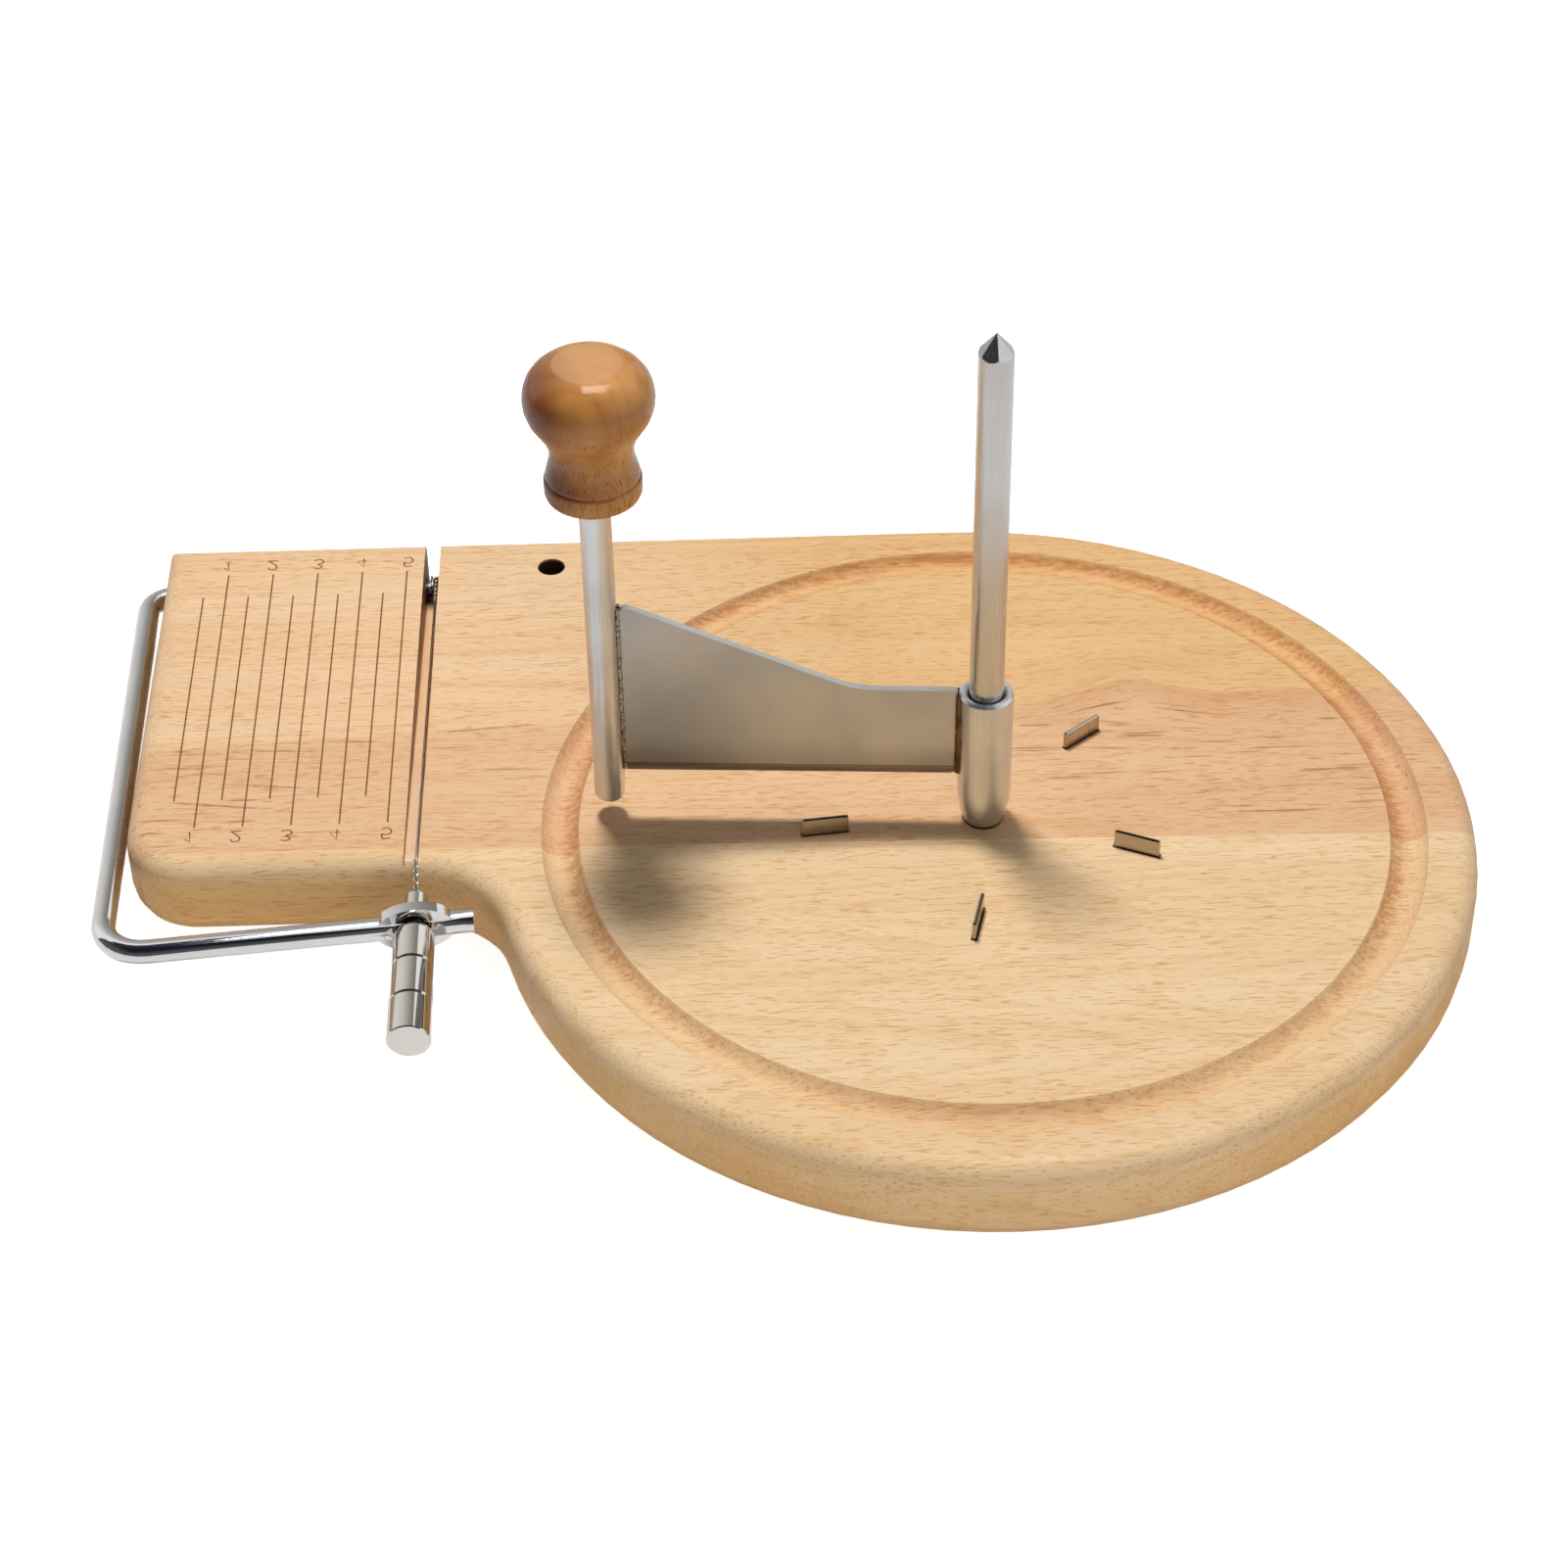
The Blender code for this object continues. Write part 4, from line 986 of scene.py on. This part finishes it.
def curve_mesh(name, paths, radius, resolution):
    """A mesh of round strands along paths of points, closed at their ends."""
    curve = bpy.data.curves.new(name, "CURVE")
    curve.dimensions = "3D"
    curve.bevel_depth = radius
    curve.bevel_resolution = resolution
    curve.use_fill_caps = True
    for path in paths:
        spline = curve.splines.new("POLY")
        spline.points.add(len(path) - 1)
        for point, place in zip(spline.points, path):
            point.co = (*place, 1.0)
    holder = bpy.data.objects.new(name, curve)
    mesh = bpy.data.meshes.new_from_object(holder)
    bpy.data.objects.remove(holder)
    mesh.name = name
    bm = bmesh.new()
    bm.from_mesh(mesh)
    bmesh.ops.remove_doubles(bm, verts=bm.verts, dist=MERGE_DISTANCE)
    bmesh.ops.recalc_face_normals(bm, faces=bm.faces)
    shade_smooth(bm, ROUND_ANGLE)
    bm.to_mesh(mesh)
    bm.free()
    return mesh


# %% Burned scale
BURN = (0.15, 0.055, 0.016, 1.0)
BURN_EDGE = (0.27, 0.112, 0.036, 1.0)
BURN_SPECKS = (900.0, 900.0, 900.0)


def build_burn_material():
    """Scorched wood: brown, dull and a little uneven along each line."""
    material, tree, shader, place = open_material("burned_line", 0.0, 0.7)
    uneven = noise_along(tree, place, BURN_SPECKS, 2.0)
    feed(tree, shader.inputs["Base Color"], blend_colors(tree, uneven, BURN, BURN_EDGE))
    feed(tree, shader.inputs["Roughness"], spread(tree, uneven, 0.3, 0.7, 0.6, 0.8))
    shader.inputs["Specular IOR Level"].default_value = 0.1
    return material


paths = [[(x, y, 0.0) for x, y in stroke] for stroke in strokes]
scale_mesh = curve_mesh("scale_marks", paths, STROKE_RADIUS, 0)
flat = Matrix.Diagonal((1.0, 1.0, STROKE_SQUASH, 1.0))
scale_mesh.transform(Matrix.Translation((0, 0, BOARD_TOP)) @ flat)
finish_piece(scale_mesh, "scale_marks", build_burn_material(), "base")
print("scale faces:", len(scale_mesh.polygons))

# %% [markdown]
# ## The cutting wire
#
# The wire is wound round the bow's rod in the pocket, runs along the slot, bends
# over the front edge and ends in the pin. Near both ends it is twisted back on
# itself. One strand follows the whole path, and a second one is a helix round it
# where the wire is doubled.

# %% Wire path
LOOP_CENTER = Vector((SLOT_PLACE, 0.0955, 0.0120))
WIRE_RADIUS = 0.0003
LOOP_RADIUS = 0.0031
LOOP_PITCH = 0.0011
LOOP_SHIFT = 0.0005
LOOP_TURNS = 1.15
LOOP_STEPS = 40
LEAVING_ANGLE = math.radians(3.2)
EDGE_BEND = Vector((-0.1168, -0.0080, 0.0215))
PIN_MOUTH = Vector((-0.1168, -0.0132, 0.01665))
PIN_SEAT = Vector((-0.1168, -0.0192, 0.0163))
EDGE_BEND_REACH = 0.0010
PIN_BEND_REACH = 0.0008
BEND_STEPS = 8


def loop_points():
    """The turns round the bow's rod, from the loose end to where the wire leaves it."""
    points = []
    for step in range(LOOP_STEPS, -1, -1):
        turns = LOOP_TURNS * step / LOOP_STEPS
        angle = LEAVING_ANGLE + math.tau * turns
        across = LOOP_SHIFT - LOOP_PITCH * turns
        offset = Vector((across, math.sin(angle) * LOOP_RADIUS, math.cos(angle) * LOOP_RADIUS))
        points.append(LOOP_CENTER + offset)
    return points


def rounded(before, corner, after, reach):
    """Points on a smooth bend that replaces a corner."""
    start = corner + (before - corner).normalized() * reach
    end = corner + (after - corner).normalized() * reach
    points = []
    for step in range(BEND_STEPS + 1):
        share = step / BEND_STEPS
        rest = 1 - share
        points.append(start * rest**2 + corner * 2 * share * rest + end * share**2)
    return points


# %% Wire strand
wound = loop_points()
wire_points = list(wound)
wire_points += rounded(wound[-1], EDGE_BEND, PIN_MOUTH, EDGE_BEND_REACH)
wire_points += rounded(EDGE_BEND, PIN_MOUTH, PIN_SEAT, PIN_BEND_REACH)
wire_points.append(PIN_SEAT)
wire_mesh = curve_mesh("wire_strand", [wire_points], WIRE_RADIUS, 3)
finish_piece(wire_mesh, "wire_strand", wire_steel, "bow", "cutting_wire")
print("wire points:", len(wire_points))

# %% Twisted ends
TWIST_RADIUS = 0.00045
TWIST_PITCH = 0.0017
TWIST_STRAND = 0.00028
TURN_STEPS = 14
BACK_TWIST_SHARE = 0.09


def helix_round(start, end, radius, pitch):
    """A helix about the straight line from start to end."""
    line = end - start
    side = line.cross(Vector((1.0, 0.0, 0.0))).normalized()
    other = line.cross(side).normalized()
    count = max(2, round(line.length / pitch * TURN_STEPS))
    points = []
    for step in range(count + 1):
        angle = math.tau * step / TURN_STEPS
        outward = side * math.cos(angle) + other * math.sin(angle)
        points.append(start + line * (step / count) + outward * radius)
    return points


front_twist = helix_round(EDGE_BEND, PIN_MOUTH, TWIST_RADIUS, TWIST_PITCH)
back_end = wound[-1].lerp(EDGE_BEND, BACK_TWIST_SHARE)
back_twist = helix_round(wound[-1], back_end, TWIST_RADIUS, TWIST_PITCH)
twist_mesh = curve_mesh("wire_twists", [front_twist, back_twist], TWIST_STRAND, 2)
finish_piece(twist_mesh, "wire_twists", twist_steel, "bow")
print("twist faces:", len(twist_mesh.polygons))

# %% [markdown]
# ## Weld beads
#
# The blade is welded to the sleeve and to the crank rod. A bead is a thin upright
# rod, cut into many short lengths whose vertices are pushed in and out a little.
# Each is built beside a blade that points along X and is then turned to where the
# scraper stands at rest. A row gives its distance from the spindle, how far it
# stands off the blade, its radius, its lower and upper ends and its finish.
# The bead at the sleeve is wide and dark brown: it is painted shade and the blade's dark reflection in that
# corner.

# %% Weld beads
BLADE_HALF = 0.00075
BEAD_RIPPLE = 0.00016
BEAD_STEP = 0.0006
BEAD_SIDES = 10
RIPPLES = 1400.0
RIPPLE_SHIFT = Vector((7.0, 3.0, 1.0))
BEADS = [
    # the sleeve's bead is wide and dark, as painted shade and painted reflection
    ("weld_sleeve", 0.0053, 0.0006, 0.0009, 0.0352, 0.0542, weld_shade_steel),
    ("weld_rod", 0.0736, 0.0, 0.00042, 0.0345, 0.0755, weld_steel),
]


def build_bead(name, distance, outset, radius, low, high, material):
    """Two rippled beads, one on each face of the blade."""
    bm = bmesh.new()
    length = high - low
    sizes = {"radius1": radius, "radius2": radius, "depth": length, "segments": BEAD_SIDES}
    for side in (-1, 1):
        place = Matrix.Translation((distance, side * (BLADE_HALF + outset), (low + high) / 2))
        made = bmesh.ops.create_cone(bm, cap_ends=True, matrix=place, **sizes)
        edges = {edge for vert in made["verts"] for edge in vert.link_edges}
        upright = [edge for edge in edges if edge.calc_length() > length / 2]
        bmesh.ops.subdivide_edges(bm, edges=upright, cuts=int(length / BEAD_STEP), use_grid_fill=True)
    for vert in bm.verts:
        vert.co.x += BEAD_RIPPLE * noise.noise(vert.co * RIPPLES)
        vert.co.y += BEAD_RIPPLE * noise.noise(vert.co * RIPPLES + RIPPLE_SHIFT)
    bmesh.ops.transform(bm, matrix=Matrix.Rotation(REST_TURN, 4, "Z"), verts=bm.verts)
    bmesh.ops.recalc_face_normals(bm, faces=bm.faces)
    shade_smooth(bm, ROUND_ANGLE)
    return finish_piece(mesh_from(bm, name), name, material, "scraper")


for bead in BEADS:
    print("bead:", build_bead(*bead).name)

# %% [markdown]
# ## Floor, world and lamps
#
# The object stands on white. The floor is pale and takes the lamps' light like
# any surface. The camera also sees a glow of its own, so that it is white where no
# shadow falls and the shadow stays, and reflections see less of it. The world is
# white to the camera and in reflections, and a soft warm light for all else.

# %% Floor
FLOOR_GLOW = 0.86
MIRRORED_GLOW = 0.12
FLOOR_REACH = 4.0
PALE_GREY = (0.80, 0.80, 0.80, 1.0)
WHITE = (1.0, 1.0, 1.0, 1.0)


def build_floor_material():
    """Pale floor: white to the camera where it is lit, darker in a shadow."""
    material, tree, shader, _ = open_material("pale_floor", 0.0, 0.9)
    shader.inputs["Base Color"].default_value = PALE_GREY
    path = tree.nodes.new("ShaderNodeLightPath").outputs
    straight = calculate(tree, "MAXIMUM", path["Is Camera Ray"], path["Is Transmission Ray"])
    mirrored = calculate(tree, "MULTIPLY", path["Is Glossy Ray"], MIRRORED_GLOW)
    strength = calculate(tree, "MULTIPLY_ADD", straight, FLOOR_GLOW, mirrored)
    glow = add_node(tree, "ShaderNodeEmission", {"Color": WHITE, "Strength": strength})
    both = add_node(tree, "ShaderNodeAddShader", {0: shader.outputs[0], 1: glow.outputs[0]})
    feed(tree, tree.nodes["Material Output"].inputs["Surface"], both.outputs[0])
    return material


bm = bmesh.new()
bmesh.ops.create_grid(bm, x_segments=1, y_segments=1, size=FLOOR_REACH)
floor = place_object("floor", mesh_from(bm, "floor"))
floor.data.materials.append(build_floor_material())
print("floor is", 2 * FLOOR_REACH, "m wide")

# %% World
WORLD_LIGHT = 0.13
WARM = (1.0, 0.94, 0.87, 1.0)

world = bpy.data.worlds.new("soft_white")
world.use_nodes = True
bpy.context.scene.world = world
tree = world.node_tree
path = tree.nodes.new("ShaderNodeLightPath").outputs
seen = calculate(tree, "MAXIMUM", path["Is Camera Ray"], path["Is Glossy Ray"])
seen = calculate(tree, "MAXIMUM", seen, path["Is Transmission Ray"])
dim = tree.nodes["Background"]
dim.inputs["Color"].default_value = WARM
dim.inputs["Strength"].default_value = WORLD_LIGHT
bright = add_node(tree, "ShaderNodeBackground", {"Color": WHITE, "Strength": 1.0})
mixed = add_node(tree, "ShaderNodeMixShader", {0: seen, 1: dim.outputs[0], 2: bright.outputs[0]})
feed(tree, tree.nodes["World Output"].inputs["Surface"], mixed.outputs[0])
print("world light:", WORLD_LIGHT)

# %% [markdown]
# A key lamp hangs high behind the board's middle and throws the shadow under the
# blade forwards. A weaker and wider lamp low in front lights the rims. A row gives
# a lamp's name, place, side in metres and power in watts.

# %% Lamps
LAMPS = [
    ("key_lamp", (-0.13, 0.23, 1.00), 0.15, 8.7),
    ("fill_lamp", (0.35, -1.18, 0.32), 0.6, 4.6),
]


def add_lamp(name, place, size, power):
    """A square soft lamp that faces the board's middle."""
    lamp = bpy.data.lights.new(name, "AREA")
    lamp.shape = "SQUARE"
    lamp.size = size
    lamp.energy = power
    holder = place_object(name, lamp)
    toward = CAMERA_TARGET - Vector(place)
    turn = toward.to_track_quat("-Z", "Y").to_matrix().to_4x4()
    holder.matrix_world = Matrix.Translation(place) @ turn
    holder.visible_glossy = False
    return holder


for lamp in LAMPS:
    print("lamp:", add_lamp(*lamp).name)

# %% [markdown]
# ## Cards for the chrome
#
# Chrome shows nothing of its own, only what stands round it. In an all white room
# it would vanish, so a photographer puts grey and dark cards beside it. Here dark
# walls and ceilings stand behind the camera and at the left, a paler wall at the
# back, and a narrow dark card at the right. A bright softbox hangs overhead in
# place of the lamps, which reflections don't see. Only reflections see the cards:
# they give the lines in the chrome and throw no shadow. A row gives a card's
# corner, its width and height, and the axis along which its tone changes.

# %% Tones of the cards
ASH = (0.12, 0.12, 0.11)
NIGHT = (0.012, 0.016, 0.03)
LATE_NIGHT = (0.012, 0.016, 0.025)
SOOT = (0.03, 0.03, 0.035)
SLATE = (0.05, 0.05, 0.06)
LINEN = (0.85, 0.83, 0.80)
CLAY = (0.27, 0.245, 0.21)
UMBER = (0.05, 0.045, 0.04)
PALE_UMBER = (0.08, 0.07, 0.06)
GLARE = (13.0, 12.8, 12.5)
SOFT_GLARE = (9.0, 8.8, 8.5)
BLACK = (0.0, 0.0, 0.0, 1.0)

# %% Cards
WALL_UP = (0.0, 0.0, 1.67)
FRONT_ALONG = (2.8, 0.0, 0.0)
CARDS = [
    ("front_wall", (-1.4, -1.5, 0.03), FRONT_ALONG, WALL_UP, "Z", ASH, NIGHT),
    ("front_ceiling", (-1.4, -1.5, 1.70), FRONT_ALONG, (0.0, 0.85, 0.0), "Y", NIGHT, LATE_NIGHT),
    ("left_wall", (-1.4, -1.5, 0.03), (0.0, 1.75, 0.0), WALL_UP, "Z", ASH, SOOT),
    ("left_ceiling", (-1.4, -0.65, 1.70), (1.2, 0.0, 0.0), (0.0, 1.2, 0.0), "Y", LATE_NIGHT, SLATE),
    ("back_wall", (-1.9, 1.5, 0.08), (2.52, 0.0, 0.0), (0.0, 0.0, 1.90), "X", LINEN, CLAY),
    ("softbox", (-0.22, -0.06, 1.40), (0.62, 0.0, 0.0), (0.0, 0.46, 0.0), "X", GLARE, SOFT_GLARE),
    ("right_card", (1.15, 1.30, 0.02), (0.55, -0.40, 0.0), (0.0, 0.0, 0.88), "Z", UMBER, PALE_UMBER),
]


def add_card(name, corner, width, height, axis, first, last):
    """A rectangle that only reflections see, from its corner, width and height."""
    corner, width, height = Vector(corner), Vector(width), Vector(height)
    bm = bmesh.new()
    ends = (corner, corner + width, corner + width + height, corner + height)
    bm.faces.new([bm.verts.new(end) for end in ends])
    card = place_object(name, mesh_from(bm, name))
    material, tree, shader, place = open_material(name, 0.0, 1.0)
    along = add_node(tree, "ShaderNodeSeparateXYZ", {0: place}).outputs[axis]
    start = getattr(ends[0], axis.lower())
    stop = getattr(ends[2], axis.lower())
    tone = blend_colors(tree, spread(tree, along, start, stop), (*first, 1.0), (*last, 1.0))
    feed(tree, shader.inputs["Emission Color"], tone)
    shader.inputs["Emission Strength"].default_value = 1.0
    shader.inputs["Base Color"].default_value = BLACK
    shader.inputs["Specular IOR Level"].default_value = 0.0
    card.data.materials.append(material)
    card.visible_camera = False
    card.visible_diffuse = False
    card.visible_transmission = False
    card.visible_shadow = False
    return card


for card in CARDS:
    print("card:", add_card(*card).name)

# %% [markdown]
# ## Finish
#
# The picture keeps its plain Standard view.

# %% Finish
bpy.context.scene.view_settings.view_transform = "Standard"
